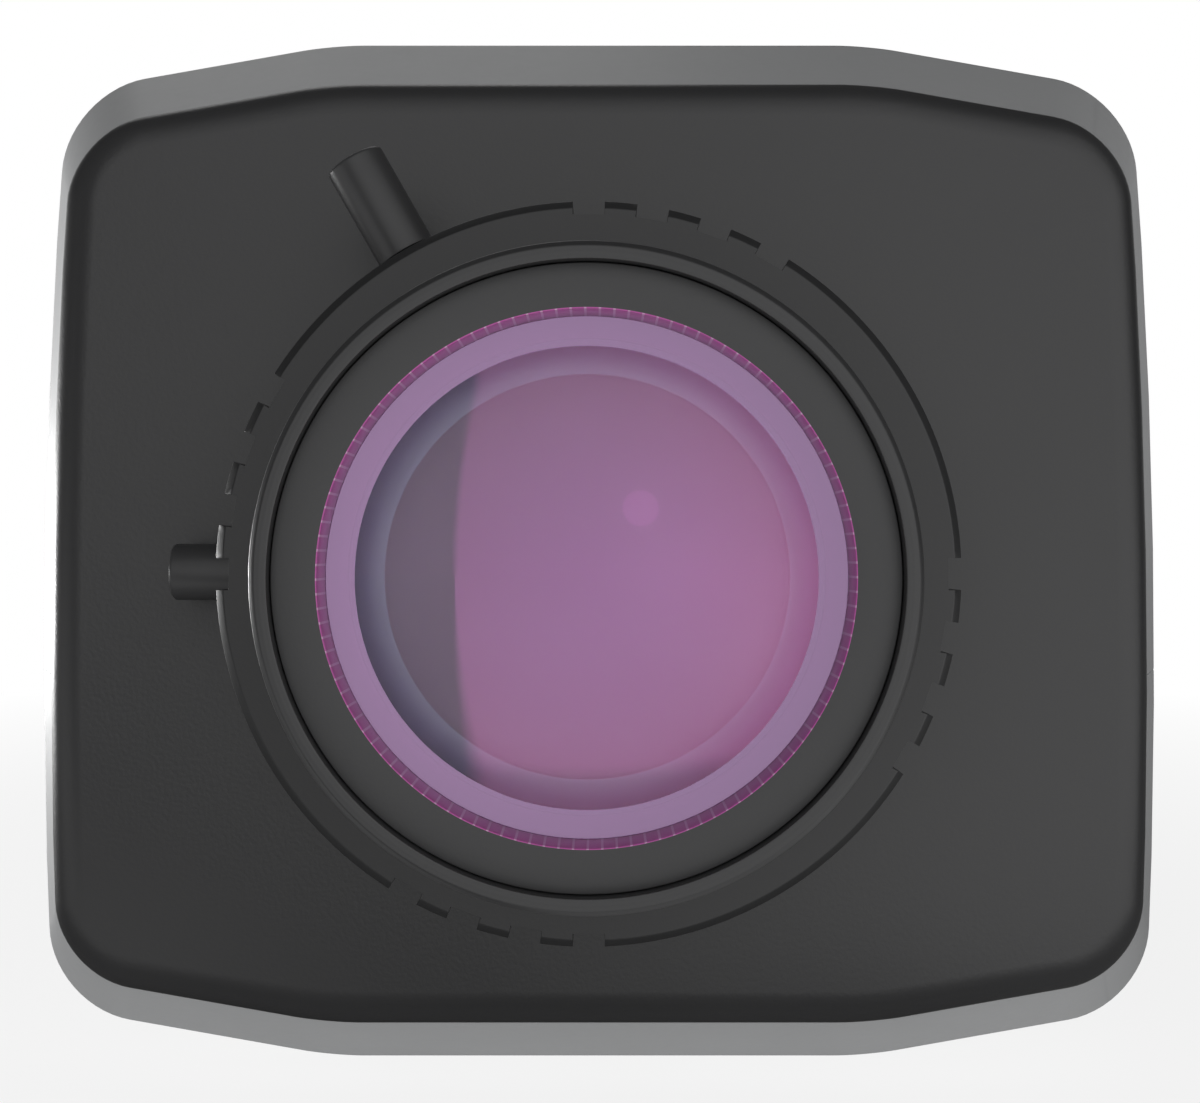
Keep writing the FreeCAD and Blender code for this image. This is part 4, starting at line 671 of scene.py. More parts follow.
@dataclass(frozen=True)
class Section:
    """A rounded cross-section of the housing, in millimetres: flats, sloped shoulders and bowed sides."""

    half_width: float
    bottom: float
    top: float
    half_flat: float
    corner: float
    bow: float
    widest: float = 26.2
    blend: float = 24.0
    slope: float = math.radians(10.0)
    corner_facets: int = 14
    corner_rounds: int = 8
    blend_facets: int = 8
    side_cuts: int = 5
    side_share: float = 1 / 3

    def inset(self, depth: float) -> "Section":
        """Give the section moved inwards by a wall."""
        return replace(self, half_width=self.half_width - depth, bottom=self.bottom + depth,
                       top=self.top - depth, half_flat=self.half_flat - depth * math.tan(self.slope / 2),
                       corner=self.corner - depth, bow=self.bow - depth, blend=self.blend - depth)

    def side_at(self, level: float) -> float:
        """Give the half-width of the bowed side at a height."""
        return self.half_width - (level - self.widest) ** 2 / (2 * self.bow)

    def corner_place(self, upper: bool) -> tuple[float, float]:
        """Find where a shoulder's slope would meet the bowed side.

        Args:
            upper: Whether it is an upper corner.

        Returns:
            Half-width and height of the meeting point.
        """
        level = self.top if upper else self.bottom
        turn = -1 if upper else 1
        start = level
        for _ in range(self.corner_rounds):
            level = start + turn * (self.side_at(level) - self.half_flat) * math.tan(self.slope)
        return self.side_at(level), level

    def loop(self, bm: BMesh, y: float) -> list[BMEdge]:
        """Draw the section as a closed loop of edges across the housing.

        Args:
            bm: The mesh that takes it.
            y: Its place along the housing, in millimetres.

        Returns:
            The loop's edges.
        """
        low_x, low_z = self.corner_place(upper=False)
        high_x, high_z = self.corner_place(upper=True)
        right = [(self.half_flat, self.bottom), (low_x, low_z), (high_x, high_z), (self.half_flat, self.top)]
        corners = right + [(-x, z) for x, z in reversed(right)]
        wire = bmesh.new()
        places = [Vector((x * MM, y * MM, z * MM)) for x, z in corners]
        verts = [wire.verts.new(place) for place in places]
        for one, two in zip(verts, verts[1:] + verts[:1]):
            wire.edges.new((one, two))
        tall = self.top * MM * self.side_share
        sides = [edge for edge in wire.edges if abs(edge.verts[0].co.z - edge.verts[1].co.z) > tall]
        bmesh.ops.subdivide_edges(wire, edges=sides, cuts=self.side_cuts)
        for vert in wire.verts:
            if min((vert.co - place).length for place in places) > MERGE_DISTANCE:
                vert.co.x = math.copysign(self.side_at(vert.co.z / MM) * MM, vert.co.x)
        turn = math.pi / 2 - self.slope
        ends, blends = places[1:3] + places[5:7], places[:1] + places[3:5] + places[7:]
        for spots, radius, angle, facets in ((ends, self.corner, turn, self.corner_facets),
                                             (blends, self.blend, self.slope, self.blend_facets)):
            points = [min(wire.verts, key=lambda v: (v.co - spot).length) for spot in spots]
            ease(wire, points, radius * math.tan(angle / 2) * MM, facets, Eased.CORNERS)
        before = set(bm.edges)
        pour(wire, bm)
        return list(set(bm.edges) - before)


MAIN = Section(half_width=37.5, bottom=0.0, top=68.4, half_flat=18.0, corner=6.3, bow=489.0)
NOSE = Section(half_width=34.5, bottom=4.45, top=63.55, half_flat=17.1, corner=5.6, bow=468.0)


@dataclass
class Housing:
    """The two cast shells, drawn as one tube and parted at the widest line."""

    wall: float = 2.5
    nose_length: float = 8.0
    nose_wall: float = 2.2
    mouth_depth: float = 10.2
    rim_dish: float = 0.03
    split: float = MAIN.widest
    shoulder_rounding: float = 0.7
    edge_rounding: float = 0.3
    seam_rounding: float = 0.08
    seam_band: float = 0.5
    rim_turn: float = math.radians(40)
    post_start: float = 3.25
    post_length: float = 14.0
    post_wall: float = 1.2
    bore_overrun: float = 1.0
    hole_reach: float = 7.0
    insert_play: float = 0.02
    screw_play: float = 0.2

    def tube(self) -> BMesh:
        """Draw the whole housing as a closed tube with its flared nose.

        Returns:
            The tube.
        """
        low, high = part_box("housing_base")
        front, rear = low.y / MM, high.y / MM
        mouth = front + self.mouth_depth
        nose, main = NOSE.inset(self.nose_wall), MAIN.inset(self.wall)
        stations = [(MAIN, rear), (MAIN, front + self.nose_length), (NOSE, front),
                    (nose, front + self.rim_dish), (nose, mouth),
                    (main, mouth + self.rim_dish), (main, rear - self.rim_dish)]
        bm = bmesh.new()
        loops = [section.loop(bm, y) for section, y in stations]
        for one, two in zip(loops, loops[1:] + loops[:1]):
            bmesh.ops.bridge_loops(bm, edges=one + two)
        ease(bm, loops[1], self.shoulder_rounding * MM, segments=4)
        rim = [edge for edge in bm.edges if edge.calc_face_angle(0.0) > self.rim_turn
               and all(min(abs(v.co.y - front * MM), abs(v.co.y - rear * MM)) < self.rim_dish * 2 * MM
                       for v in edge.verts)]
        ease(bm, rim, self.edge_rounding * MM, segments=3)
        return tidy(bm)

    def half(self, keep_low: bool) -> BMesh:
        """Part the tube and close the cut, with its edges eased to a fine groove.

        Args:
            keep_low: Whether the lower shell is kept.

        Returns:
            One shell.
        """
        bm = self.tube()
        level_cut(bm, self.split, clear_outer=keep_low, clear_inner=not keep_low)
        level_cut(bm, self.split + (-self.seam_band if keep_low else self.seam_band))
        made = bmesh.ops.holes_fill(bm, edges=[edge for edge in bm.edges if edge.is_boundary], sides=0)
        seam = {edge for face in made["faces"] for edge in face.edges}
        ease(bm, seam, self.seam_rounding * MM, segments=2)
        bmesh.ops.recalc_face_normals(bm, faces=bm.faces[:])
        return bm

    def screw_holes(self, node: str) -> list[tuple[Vector, float, float]]:
        """Find the counterbores that lead to a group of screws from below.

        Args:
            node: The screws' node.

        Returns:
            Place at floor level, radius and depth of each.
        """
        low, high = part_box(node)
        points = [v.co.copy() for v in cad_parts[node].data.vertices if v.co.z < low.z + MERGE_DISTANCE]
        reach = self.hole_reach * MM
        holes = []
        for side_x in (low.x, high.x):
            for side_y in (low.y, high.y):
                near = [p for p in points if abs(p.x - side_x) < reach and abs(p.y - side_y) < reach]
                if not near:
                    continue
                xs, ys = [p.x for p in near], [p.y for p in near]
                centre = Vector(((min(xs) + max(xs)) / 2, (min(ys) + max(ys)) / 2, 0.0))
                if all((centre - place).length > MM for place, _, _ in holes):
                    holes.append((centre, (max(xs) - min(xs)) / 2 + self.screw_play * MM, low.z))
        return holes

    def build(self) -> None:
        """Make both shells, with the tripod insert's seat and the screw holes in the lower one."""
        base = self.half(keep_low=True)
        up = Vector((0, 0, 1))
        low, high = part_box("tripod_insert")
        holes = [(Vector((0, 0, 0)), (high.x - low.x) / 2 + self.insert_play * MM, high.z)]
        holes += self.screw_holes("case_screws") + self.screw_holes("bracket_screws")
        posts = merged(cylinder(place + up * self.post_start * MM, up, radius + self.post_wall * MM,
                                self.post_length * MM) for place, radius, _ in holes)
        base = combine(base, posts, Combine.JOIN)
        overrun = self.bore_overrun * MM
        bores = merged(cylinder(place - up * overrun, up, radius, depth + overrun)
                       for place, radius, depth in holes)
        base = combine(base, bores, Combine.CUT)
        make_piece("lower_shell", base, POWDER_COAT, MAIN_BODY, "housing_base", weighted=True)
        make_piece("upper_shell", self.half(keep_low=False), POWDER_COAT, MAIN_BODY, "housing_top_cover",
                   weighted=True)


@dataclass
class FrontCap:
    """The dark cap on the nose: a plate with a full rounded edge and the lens hole."""

    edge_width: float = 2.35
    edge_depth: float = 1.9
    edge_facets: int = 12
    lens_hole_radius: float = 17.8
    hole_rounding: float = 0.3

    def build(self) -> None:
        """Make the cap."""
        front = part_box("front_cap")[0].y / MM
        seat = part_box("housing_base")[0].y / MM
        bm = bmesh.new()
        rims = [NOSE.loop(bm, seat)]
        for index in range(self.edge_facets + 1):
            turn = math.pi / 2 * index / self.edge_facets
            rims.append(NOSE.inset(self.edge_width * (1 - math.cos(turn))).loop(
                bm, front + self.edge_depth * (1 - math.sin(turn))))
        holes = []
        for y in (front, seat):
            place = Matrix.Translation((AXIS_X, y * MM, AXIS_Z)) @ Matrix.Rotation(math.pi / 2, 4, "X")
            ring = bmesh.ops.create_circle(bm, cap_ends=False, segments=LATHE_STEPS,
                                           radius=self.lens_hole_radius * MM, matrix=place)
            holes.append(list({edge for vert in ring["verts"] for edge in vert.link_edges}))
        for one, two in list(zip(rims, rims[1:])) + [(holes[0], holes[1])]:
            bmesh.ops.bridge_loops(bm, edges=one + two)
        for rim, hole in ((rims[-1], holes[0]), (rims[0], holes[1])):
            bmesh.ops.triangle_fill(bm, edges=rim + hole, use_beauty=True)
        ease(bm, holes[0], self.hole_rounding * MM)
        make_piece("moulded_cap", tidy(bm), CAP_PLASTIC, MAIN_BODY, "front_cap", weighted=True)


# Lens


@dataclass
class Lens:
    """The zoom lens: fixed barrel, two grip rings with lock screws, front barrel, name ring and glass."""

    fine_rounding: float = 0.06
    near: float = 0.1
    facing: float = 0.9
    sideways: float = 0.5
    ring_bore: float = 16.6
    ring_steps: int = 288
    ring_turn: float = math.radians(50)
    chamfer: float = 0.45
    notch_depth: float = 0.8
    notch_width: float = 1.75
    notch_pitch: float = 10.0
    notch_overrun: float = 2.0
    notches: int = 4
    groups: int = 4
    focus_grip: float = 75.0
    zoom_grip: float = 225.0
    barrel_bore: float = 12.94
    barrel_mouth: float = 14.49
    barrel_seat: float = 13.25
    barrel_step: float = 11.55
    barrel_bevel: float = 0.25
    step_length: float = 2.0
    seat_gap: float = 0.06
    base_rounding: float = 0.1
    name_bore: float = 12.33
    lines: int = 116
    line_facets: int = 6
    dome_facets: int = 24
    glass_turn: float = math.radians(6)
    front_curve: float = 32.0
    front_face: float = 10.77
    face_step: float = 1.65
    rim_slope: float = 0.09
    rim_step: float = 0.3
    second_curve: float = 47.0
    second_clear: float = 9.0
    lock_head: float = 1.7
    lock_shank: float = 1.1
    lock_length: float = 6.1
    lock_reach: float = 2.15
    lock_chamfer: float = 0.15
    lock_steps: int = 72
    focus_lock_angle: float = 119.7
    focus_lock_seat: float = 20.9
    zoom_lock_angle: float = 180.0
    zoom_lock_seat: float = 19.0

    def __post_init__(self) -> None:
        """Set the lens axis, which starts at the image sensor."""
        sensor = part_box("image_sensor")[0].y
        self.axis = Axis(Vector((AXIS_X, sensor, AXIS_Z)), Vector((0, -1, 0)), Vector((1, 0, 0)))

    def span(self, node: str) -> Triple:
        """Give a turned node's outer radius, rear height and front height, in millimetres."""
        low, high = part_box(node)
        base = self.axis.start.y
        return (high.z - low.z) / 2 / MM, (base - high.y) / MM, (base - low.y) / MM

    def spoke(self, angle: float) -> Vector:
        """Give the way out from the lens axis at an angle, in degrees."""
        turn = math.radians(angle)
        return Vector((math.cos(turn), 0, math.sin(turn)))

    def middle_of(self, node: str) -> Vector:
        """Give the place on the lens axis half-way along a node."""
        low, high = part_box(node)
        return Vector((AXIS_X, (low.y + high.y) / 2, AXIS_Z))

    def grip_ring(self, node: str, first: float) -> BMesh:
        """Turn a grip ring and mill its groups of notches.

        Args:
            node: The ring's node.
            first: The angle of the first group, in degrees.

        Returns:
            The ring.
        """
        _, rear, front = self.span(node)
        radius = max(self.radius_of(v.co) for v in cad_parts[node].data.vertices)
        bore, chamfer = self.ring_bore, self.chamfer
        inner = radius - chamfer
        ring = lathe([(bore, rear), (inner, rear), (radius, rear + chamfer), (radius, front - chamfer),
                      (inner, front), (bore, front)], self.axis, self.fine_rounding, steps=self.ring_steps)
        middle, along = self.middle_of(node), Vector((0, 1, 0))
        sizes = (2 * self.notch_depth, front - rear + self.notch_overrun, self.notch_width)
        cutters = []
        for group in range(self.groups):
            for notch in range(self.notches):
                out = self.spoke(first + 360 / self.groups * group
                                 + self.notch_pitch * (notch - (self.notches - 1) / 2))
                cutters.append(block(middle + out * radius * MM, (out, along, out.cross(along)), sizes))
        ring = combine(ring, merged(cutters), Combine.CUT)
        ease(ring, sharp_edges(ring, self.ring_turn), self.fine_rounding * MM, segments=2)
        return ring

    def lock_screw(self, node: str, angle: float, seat: float, body: str) -> None:
        """Turn a lock screw along its own radial axis.

        Args:
            node: The screw's node.
            angle: Where it stands round the lens, in degrees.
            seat: How far out its head starts, in millimetres.
            body: The body that it moves with.
        """
        axis = Axis(self.middle_of(node), self.spoke(angle), Vector((0, 1, 0)))
        tip, foot = seat + self.lock_length, seat - self.lock_reach
        head, shank, chamfer = self.lock_head, self.lock_shank, self.lock_chamfer
        bm = lathe([(0, foot), (shank, foot), (shank, seat), (head, seat), (head, tip - chamfer),
                    (head - chamfer, tip), (0, tip)], axis, self.fine_rounding, closed=False,
                   steps=self.lock_steps)
        make_piece(f"{node}_turned", bm, LOCK_STEEL, body, node)

    def radius_of(self, place: Vector) -> float:
        """Give a place's distance from the lens axis, in millimetres."""
        return math.hypot(place.x - AXIS_X, place.z - AXIS_Z) / MM

    def name_ring(self) -> None:
        """Turn the name ring, with painted glint lines across the painted purple reflection on its inner wall.
        """
        radius, rear, front = self.span("name_ring")
        inner = self.name_bore
        bm = lathe([(inner, rear), (radius, rear), (radius, front), (inner, front)], self.axis,
                   self.fine_rounding, steps=self.lines * self.line_facets)
        piece = make_piece("bare_name_ring", bm, RING_MATT, "front_group", "name_ring")

        def on_wall(middle: Vector, _: Vector) -> bool:
            """Tell whether a facet belongs to the inner wall."""
            return self.radius_of(middle) < inner + self.near

        def on_painted_glint(middle: Vector, normal: Vector) -> bool:
            """Tell whether a facet of the wall carries a painted glint line."""
            turn = math.atan2(middle.z - AXIS_Z, middle.x - AXIS_X) * self.lines - math.pi / self.line_facets
            return on_wall(middle, normal) and math.cos(turn) > math.cos(math.pi / self.line_facets)

        # The inner wall takes the painted purple reflection of the coated glass edge.
        second_finish(piece, WALL_PAINTED_REFLECTION, on_wall)
        # Every few facets of the wall take a painted glint line.
        second_finish(piece, WALL_PAINTED_GLINTS, on_painted_glint)

    def dome(self, pole: float, curve: float, out: float) -> list[tuple[float, float]]:
        """List a spherical face from its pole outwards.

        Args:
            pole: Height of the pole, in millimetres.
            curve: Radius of the sphere, below 0 if the face falls towards the front.
            out: Radius at which the face ends.

        Returns:
            Radius and height of each point.
        """
        radii = [out * index / self.dome_facets for index in range(self.dome_facets + 1)]
        return [(r, pole - math.copysign(abs(curve) - math.sqrt(curve ** 2 - r ** 2), curve)) for r in radii]

    def glasses(self) -> None:
        """Grind the two front elements; the first bulges from a flat rim that the name ring holds."""
        radius, rear, _ = self.span("front_glass")
        held = self.span("name_ring")[1] - self.rim_step
        sag = self.front_curve - math.sqrt(self.front_curve ** 2 - self.front_face ** 2)
        face = self.dome(held + self.face_step + sag, self.front_curve, self.front_face)
        edge = held + (radius - self.front_face) * self.rim_slope
        bm = lathe(face + [(self.front_face, held), (radius, edge), (radius, rear), (0.0, rear)], self.axis,
                   closed=False)
        piece = make_piece("front_glass_ground", bm, COATED_GLASS, "front_group", "front_glass",
                           smooth=self.glass_turn)
        second_finish(piece, BLOOMED_GLASS, lambda _, normal: normal.y > self.facing)
        outer = self.front_face - self.near
        second_finish(piece, GROUND_RIM,
                      lambda middle, normal: normal.y < self.sideways and self.radius_of(middle) > outer)
        radius, rear, front = self.span("second_glass")
        back = self.dome(rear, -self.second_curve, radius)
        bm = lathe(self.dome(front, self.second_curve, radius) + back[::-1], self.axis, closed=False)
        piece = make_piece("second_glass_ground", bm, HAZY_GLASS, "front_group", "second_glass")
        second_finish(piece, HAZY_EDGE, lambda middle, _: self.radius_of(middle) > self.second_clear)

    def build(self) -> None:
        """Make every piece of the lens that can be seen."""
        radius, rear, front = self.span("front_barrel")
        name_rear, glass_rear = self.span("name_ring")[1], self.span("front_glass")[1]
        bore, mouth, seat, step = self.barrel_bore, self.barrel_mouth, self.barrel_seat, self.barrel_step
        bevel, ledge, foot = self.barrel_bevel, glass_rear - self.seat_gap, glass_rear - self.step_length
        barrel = lathe([(bore, rear), (radius, rear), (radius, front - bevel), (radius - bevel, front),
                        (mouth, front), (mouth, name_rear), (seat, name_rear), (seat, ledge), (step, ledge),
                        (step, foot), (bore, foot)], self.axis, self.fine_rounding)
        piece = make_piece("turned_front_barrel", barrel, BLACK_ANODISED, "front_group", "front_barrel")
        level = self.axis.point(0, ledge).y
        second_finish(piece, SATIN_SEAT, lambda middle, normal: normal.y < -self.facing
                      and abs(middle.y - level) < self.near * MM)
        self.name_ring()
        self.glasses()
        for ring, first in (("focus", self.focus_grip), ("zoom", self.zoom_grip)):
            grip = self.grip_ring(f"{ring}_ring", first)
            make_piece(f"{ring}_grip", grip, RING_PLASTIC, f"{ring}_ring_body", f"{ring}_ring", weighted=True)
        self.lock_screw("focus_lock_screw", self.focus_lock_angle, self.focus_lock_seat, "focus_lock")
        self.lock_screw("zoom_lock_screw", self.zoom_lock_angle, self.zoom_lock_seat, "zoom_lock")
        make_eased("turned_base_barrel", "lens_base_barrel", self.base_rounding, BLACK_ANODISED)
        dress(BLACK_ANODISED, "zoom_cell", "aperture_stop")
        dress(INNER_GLASS, "zoom_glass", "rear_glass")


# Rear panel, sockets and fasteners


@dataclass
class RearPanel:
    """The rear panel with its sockets, button and light."""

    panel_rounding: float = 0.25
    socket_rounding: float = 0.15
    contact_rounding: float = 0.05

    def build(self) -> None:
        """Round the panel and its sockets as their moulds leave them."""
        make_eased("pressed_rear_panel", "rear_panel", self.panel_rounding, PANEL_PAINT)
        for node, finish in (("network_jack", SOCKET_PLASTIC), ("power_terminal", TERMINAL_GREEN),
                             ("io_terminal", TERMINAL_GREEN), ("audio_in_jack", SOCKET_PLASTIC),
                             ("audio_out_jack", SOCKET_PLASTIC), ("card_socket", SOCKET_PLASTIC)):
            make_eased(f"{node}_moulded", node, self.socket_rounding, finish)
        make_eased("button_cap", "control_button", self.socket_rounding, SOCKET_PLASTIC, "button")
        for node in ("network_contacts", "power_pins", "io_pins"):
            make_eased(f"{node}_formed", node, self.contact_rounding, CONTACT_GOLD, weighted=False)
        dress(LIGHT_PIPE, "status_light")


@dataclass
class Fasteners:
    """The outside screws, with domed heads and cross recesses, and the tripod insert."""

    recess_width: float = 0.7
    recess_reach: float = 1.6
    recess_depth: float = 0.9
    panel_head: float = 0.6
    case_head: float = 0.3
    head_facets: int = 4
    facing: float = 0.99
    top_band: float = 0.02
    insert_rounding: float = 0.25

    def screws(self, node: str, head_out: Vector, rounding: float) -> None:
        """Round a group's heads and press a cross into each.

        Args:
            node: The screws' node.
            head_out: The way that the heads face.
            rounding: Rounding of the heads, in millimetres.
        """
        bm = eased_copy(node, rounding * MM, segments=self.head_facets)
        top = max(v.co.dot(head_out) for v in bm.verts) - self.top_band * MM
        middles = [face.calc_center_median() for face in bm.faces if face.normal.dot(head_out) > self.facing
                   and face.calc_center_median().dot(head_out) > top]
        side = head_out.orthogonal().normalized()
        across = head_out.cross(side)
        sizes = (2 * self.recess_reach, self.recess_width, 2 * self.recess_depth)
        for one, two in ((side, across), (across, -side)):
            cutters = merged(block(middle, (one, two, head_out), sizes) for middle in middles)
            bm = combine(bm, cutters, Combine.CUT)
        make_piece(f"{node}_plated", bm, ZINC_STEEL, MAIN_BODY, node, weighted=True)

    def build(self) -> None:
        """Make the screws and the insert."""
        self.screws("rear_panel_screws", Vector((0, 1, 0)), self.panel_head)
        for node in ("case_screws", "bracket_screws"):
            self.screws(node, Vector((0, 0, -1)), self.case_head)
        make_eased("turned_insert", "tripod_insert", self.insert_rounding, TURNED_BRASS)


def dress_inside() -> None:
    """Finish the hidden pieces: boards, sensor unit and what stands on the boards."""
    dress(ZINC_STEEL, "sensor_screws", "main_board_screws", "io_board_screws", "filter_motor", "filter_cover")
    dress(CAST_ALUMINIUM, "sensor_bracket", "lens_mount_ring", "heat_sink")
    dress(SOCKET_PLASTIC, "filter_frame", "button_switch", "transformer", "processor", "memory_chips",
          "image_sensor", "board_connector")
    dress(BOARD_GREEN, "main_board", "sensor_board", "io_board")
    dress(DRAWN_CAN, "capacitors")
    dress(RIBBON_FILM, "ribbon_cable")
    dress(FILTER_GLASS, "infrared_filter", "clear_filter")


# Studio


@dataclass(frozen=True)
class SoftBox:
    """A flat lamp: its place, what it faces, its size in metres, its brightness and its outline."""

    name: str
    place: Triple
    target: Triple
    width: float
    height: float
    radiance: float
    shape: LampShape = LampShape.BOX
    mirrored: bool = True

    def build(self) -> None:
        """Hang the lamp."""
        lamp = bpy.data.lights.new(self.name, "AREA")
        lamp.shape = self.shape.value
        lamp.size = self.width
        if self.shape is LampShape.BOX:
            lamp.size_y = self.height
        lamp.energy = self.radiance * math.pi * self.width * self.height
        thing = add_object(self.name, lamp)
        thing.location = self.place
        facing = Vector(self.target) - Vector(self.place)
        thing.rotation_euler = facing.to_track_quat("-Z", "Y").to_euler()
        thing.visible_camera = False
        thing.visible_glossy = thing.visible_transmission = self.mirrored


@dataclass
class Studio:
    """A pale sweep, soft boxes and the camera at the photograph's angle.

    The ramps paint the light and shade that the floor shows in reflections, by places in metres, and set the
    room's light, by directions.
    """

    eye: Triple = (0.00005, -0.175, 0.03413)
    lens: float = 55.1
    sensor_width: float = 36.0
    nearest: float = 0.005
    ambient: float = 0.06
    paper: str = "#efefef"
    floor_size: float = 6.0
    # Strength of the floor's painted glow to diffuse rays, a stand-in for bounce light on the object from
    # below.
    floor_glow: float = 0.55
    # How white the floor is to the eye, by its distance.
    floor_seen: Ramp = Ramp(0.05, 0.3, 0.85)
    # The wall ahead of the lens from left to right, and the same ramp as painted shade on the floor before it
    # in reflections.
    wall_light_and_floor_shade: Ramp = Ramp(-0.5, 0.4, 0.6)
    # In reflections the floor has painted shade left of one line, and is pale again past another and beside the
    # housing.
    shade_line: Triple = (1.0, -0.492, 0.0)
    shade_edge: Ramp = Ramp(0.0361, 0.0401, 0.05)
    pale_line: Triple = (1.0, -1.19, 0.0)
    pale_edge: Ramp = Ramp(0.0945, 0.0905)
    beside: Ramp = Ramp(-0.088, -0.08)
    # It has painted shade close before the lens, by depth and by distance to the side, and a painted shadow
    # under it.
    shade_before_lens: Ramp = Ramp(-0.1165, -0.1215, 0.6)
    off_side: Ramp = Ramp(0.022, 0.032, 0.6, 0.9)
    shadow_under_lens: Ramp = Ramp(-0.09, -0.072, 1.0, 0.12)
    # The wall ahead ends at the line of the floor's painted shade, overhead and behind, and fades upwards.
    wall_edge: Ramp = Ramp(-0.015, 0.015)
    wall_ahead: Ramp = Ramp(-0.1, -0.5)
    wall_top: Ramp = Ramp(1.0, 0.7)
    wall_fade: Ramp = Ramp(0.0, 1.0, 1.0, 0.35)
    # The backdrop stands low behind, and fades to the right.
    back_behind: Ramp = Ramp(0.45, 1.0)
    back_right: Ramp = Ramp(-0.1, 0.3, 1.0, 0.4)
    back_top: Ramp = Ramp(0.55, 0.2)
    # The rest of the room is nearly dark.
    room: Ramp = Ramp(0.0, 1.0, 0.05)
    boxes: tuple[SoftBox, ...] = (
        SoftBox("left_key", (-0.52, 0.42, 0.024), (0.0, -0.05, 0.028), 0.6, 0.04, 40.0),
        SoftBox("front_fill", (0.08, -0.95, 0.42), (0.0, -0.05, 0.035), 1.2, 0.8, 1.2, mirrored=False),
        SoftBox("rear_fill", (-0.2, 0.7, 0.75), (0.0, -0.03, 0.05), 0.5, 0.4, 0.7),
        SoftBox("small_lamp", (0.142, -0.859, 0.213), (0.0, -0.09, 0.033), 0.1, 0.1, 0.2, LampShape.ROUND),
    )

    def along(self, tree: Tree, place: Socket, line: Triple) -> Socket:
        """Give how far a vector reaches along a line."""
        settings = {"operation": "DOT_PRODUCT", 1: line}
        return add_node(tree, "VectorMath", settings, {0: place}).outputs["Value"]

    def masked(self, tree: Tree, value: Socket, *masks: tuple[Ramp, Socket]) -> Socket:
        """Darken a value by ramps, each taken at a place."""
        for ramp, place in masks:
            value = maths(tree, Sum.TIMES, value, ramp.at(tree, place))
        return value

    def other_ray(self, tree: Tree, path: Outputs) -> Socket:
        """Tell whether a ray is mirrored or passes through glass."""
        return maths(tree, Sum.MOST, path["Is Glossy Ray"], path["Is Transmission Ray"])

    def floor_painted_light(self, tree: Tree, place: Socket) -> Socket:
        """Give the floor's painted light and shade in reflections.

        Args:
            tree: The floor's nodes.
            place: Object coordinates.

        Returns:
            The brightness.
        """
        spot = split(tree, place)
        way = add_node(tree, "VectorMath", {"operation": "NORMALIZE"}, {0: place}).outputs["Vector"]
        # Painted shade on the floor in reflections: dark left of a line, pale past another and beside the
        # housing.
        tone = self.shade_edge.at(tree, self.along(tree, place, self.shade_line))
        pale = self.pale_edge.at(tree, self.along(tree, place, self.pale_line))
        for share in (self.beside.at(tree, spot["Y"]), pale):
            tone = maths(tree, Sum.MOST, tone, share)
        off_side = self.off_side.at(tree, maths(tree, Sum.SIZE, spot["X"]))
        # Painted shade close before the lens, by depth and by distance to the side.
        dimmer = maths(tree, Sum.MOST, self.shade_before_lens.at(tree, spot["Y"]), off_side)
        # Painted falloff from left to right, and a painted shadow under the lens.
        tone = self.masked(tree, tone, (self.wall_light_and_floor_shade, split(tree, way)["X"]), (self.shadow_under_lens, spot["Y"]))
        return maths(tree, Sum.TIMES, tone, dimmer)

    def floor(self) -> None:
        """Lay the pale floor: lit paper with the shadow close by, white further away; in reflections it shows
        painted light and shade, and to diffuse rays it glows with a painted bounce light.
        """
        bm = bmesh.new()
        bmesh.ops.create_grid(bm, x_segments=1, y_segments=1, size=self.floor_size)
        mesh = to_mesh(bm, "pale_floor")
        floor = add_object("pale_floor", mesh)
        material = bpy.data.materials.new("pale_paper_sweep")
        tree = empty_nodes(material)
        place = add_node(tree, "TexCoord").outputs["Object"]
        path = add_node(tree, "LightPath").outputs
        other = self.other_ray(tree, path)
        # To mirrored and refracted rays the white carries the floor's painted light and shade.
        lack = maths(tree, Sum.TAKE, self.floor_painted_light(tree, place), 1.0)
        tone = maths(tree, Sum.TIMES_ADD, other, lack, 1.0)
        # Painted glow: to diffuse rays the floor shines white and lights the object from below.
        glow = maths(tree, Sum.TIMES_ADD, path["Is Diffuse Ray"], self.floor_glow, other)
        seen = self.floor_seen.at(tree, vector_length(tree, place))
        share = maths(tree, Sum.TIMES_ADD, path["Is Camera Ray"], seen, glow)
        paper = add_node(tree, "BsdfDiffuse", {"Color": linear(self.paper)}).outputs["BSDF"]
        white = add_node(tree, "Emission", {"Color": WHITE}, {"Strength": tone}).outputs["Emission"]
        mix = add_node(tree, "MixShader", links={0: share, 1: paper, 2: white}).outputs["Shader"]
        add_node(tree, "OutputMaterial", links={"Surface": mix})
        mesh.materials.append(material)

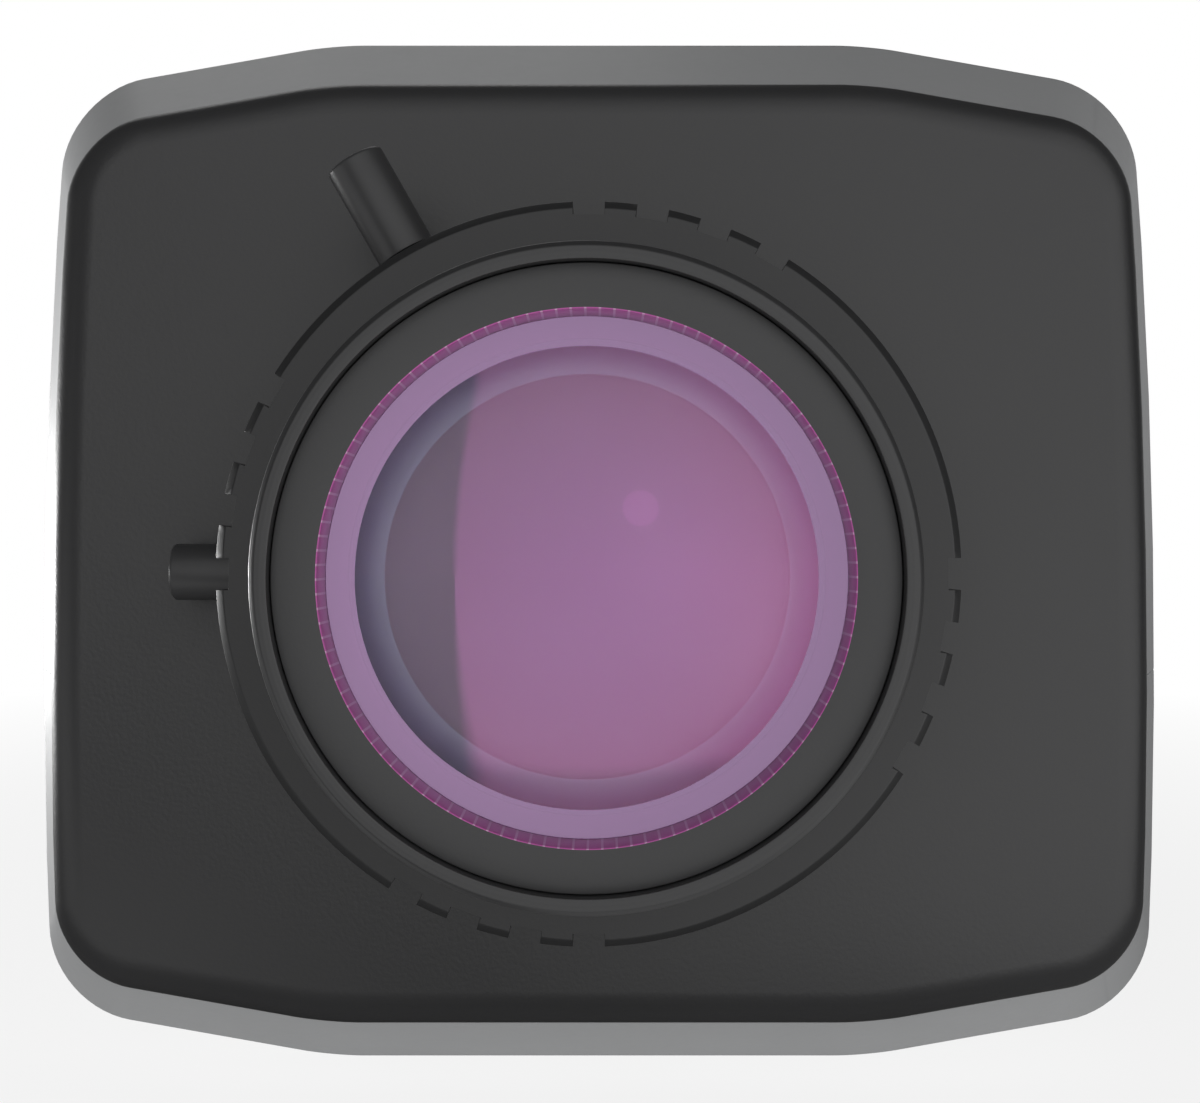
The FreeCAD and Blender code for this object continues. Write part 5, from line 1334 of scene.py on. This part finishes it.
    def world(self) -> None:
        """Light the room: white to the eye, a wall and a backdrop in reflections, else a plain soft light."""
        world = bpy.data.worlds.new("studio")
        bpy.context.scene.world = world
        tree = empty_nodes(world)
        path = add_node(tree, "LightPath").outputs
        place = add_node(tree, "TexCoord").outputs["Generated"]
        way = split(tree, place)
        line = self.along(tree, place, self.shade_line)
        wall = self.masked(tree, self.wall_light_and_floor_shade.at(tree, way["X"]), (self.wall_edge, line),
                           (self.wall_ahead, way["Y"]), (self.wall_top, way["Z"]), (self.wall_fade, way["Z"]))
        back = self.masked(tree, self.back_behind.at(tree, way["Y"]), (self.back_right, way["X"]),
                           (self.back_top, way["Z"]))
        room = self.room.at(tree, maths(tree, Sum.MOST, wall, back))
        lit = add_node(tree, "Background", {"Color": WHITE, "Strength": self.ambient})
        mirrored = add_node(tree, "Background", {"Color": WHITE}, {"Strength": room})
        white = add_node(tree, "Background", {"Color": WHITE, "Strength": 1.0})
        mix = lit.outputs["Background"]
        for share, shade in ((self.other_ray(tree, path), mirrored), (path["Is Camera Ray"], white)):
            links = {0: share, 1: mix, 2: shade.outputs["Background"]}
            mix = add_node(tree, "MixShader", links=links).outputs["Shader"]
        add_node(tree, "OutputWorld", links={"Surface": mix})

    def camera(self) -> None:
        """Set the level camera square to the front."""
        data = bpy.data.cameras.new("square_front")
        data.lens = self.lens
        data.sensor_width = self.sensor_width
        data.clip_start = self.nearest
        camera = add_object("square_front", data)
        camera.location = self.eye
        camera.rotation_euler = (math.pi / 2, 0, 0)
        bpy.context.scene.camera = camera

    def build(self) -> None:
        """Set the stage."""
        bpy.context.scene.view_settings.view_transform = "Standard"
        self.floor()
        self.world()
        for box in self.boxes:
            box.build()
        self.camera()


def main() -> None:
    """Build and dress the camera, then set the studio."""
    logging.basicConfig(level=logging.INFO, format="%(name)s: %(message)s")
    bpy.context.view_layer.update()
    steps: list[Callable[[], None]] = [Housing().build, FrontCap().build, Lens().build, RearPanel().build,
                                       Fasteners().build, dress_inside, Studio().build]
    for step in steps:
        step()
    bpy.context.view_layer.update()
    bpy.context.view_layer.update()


if __name__ == "__main__":
    main()
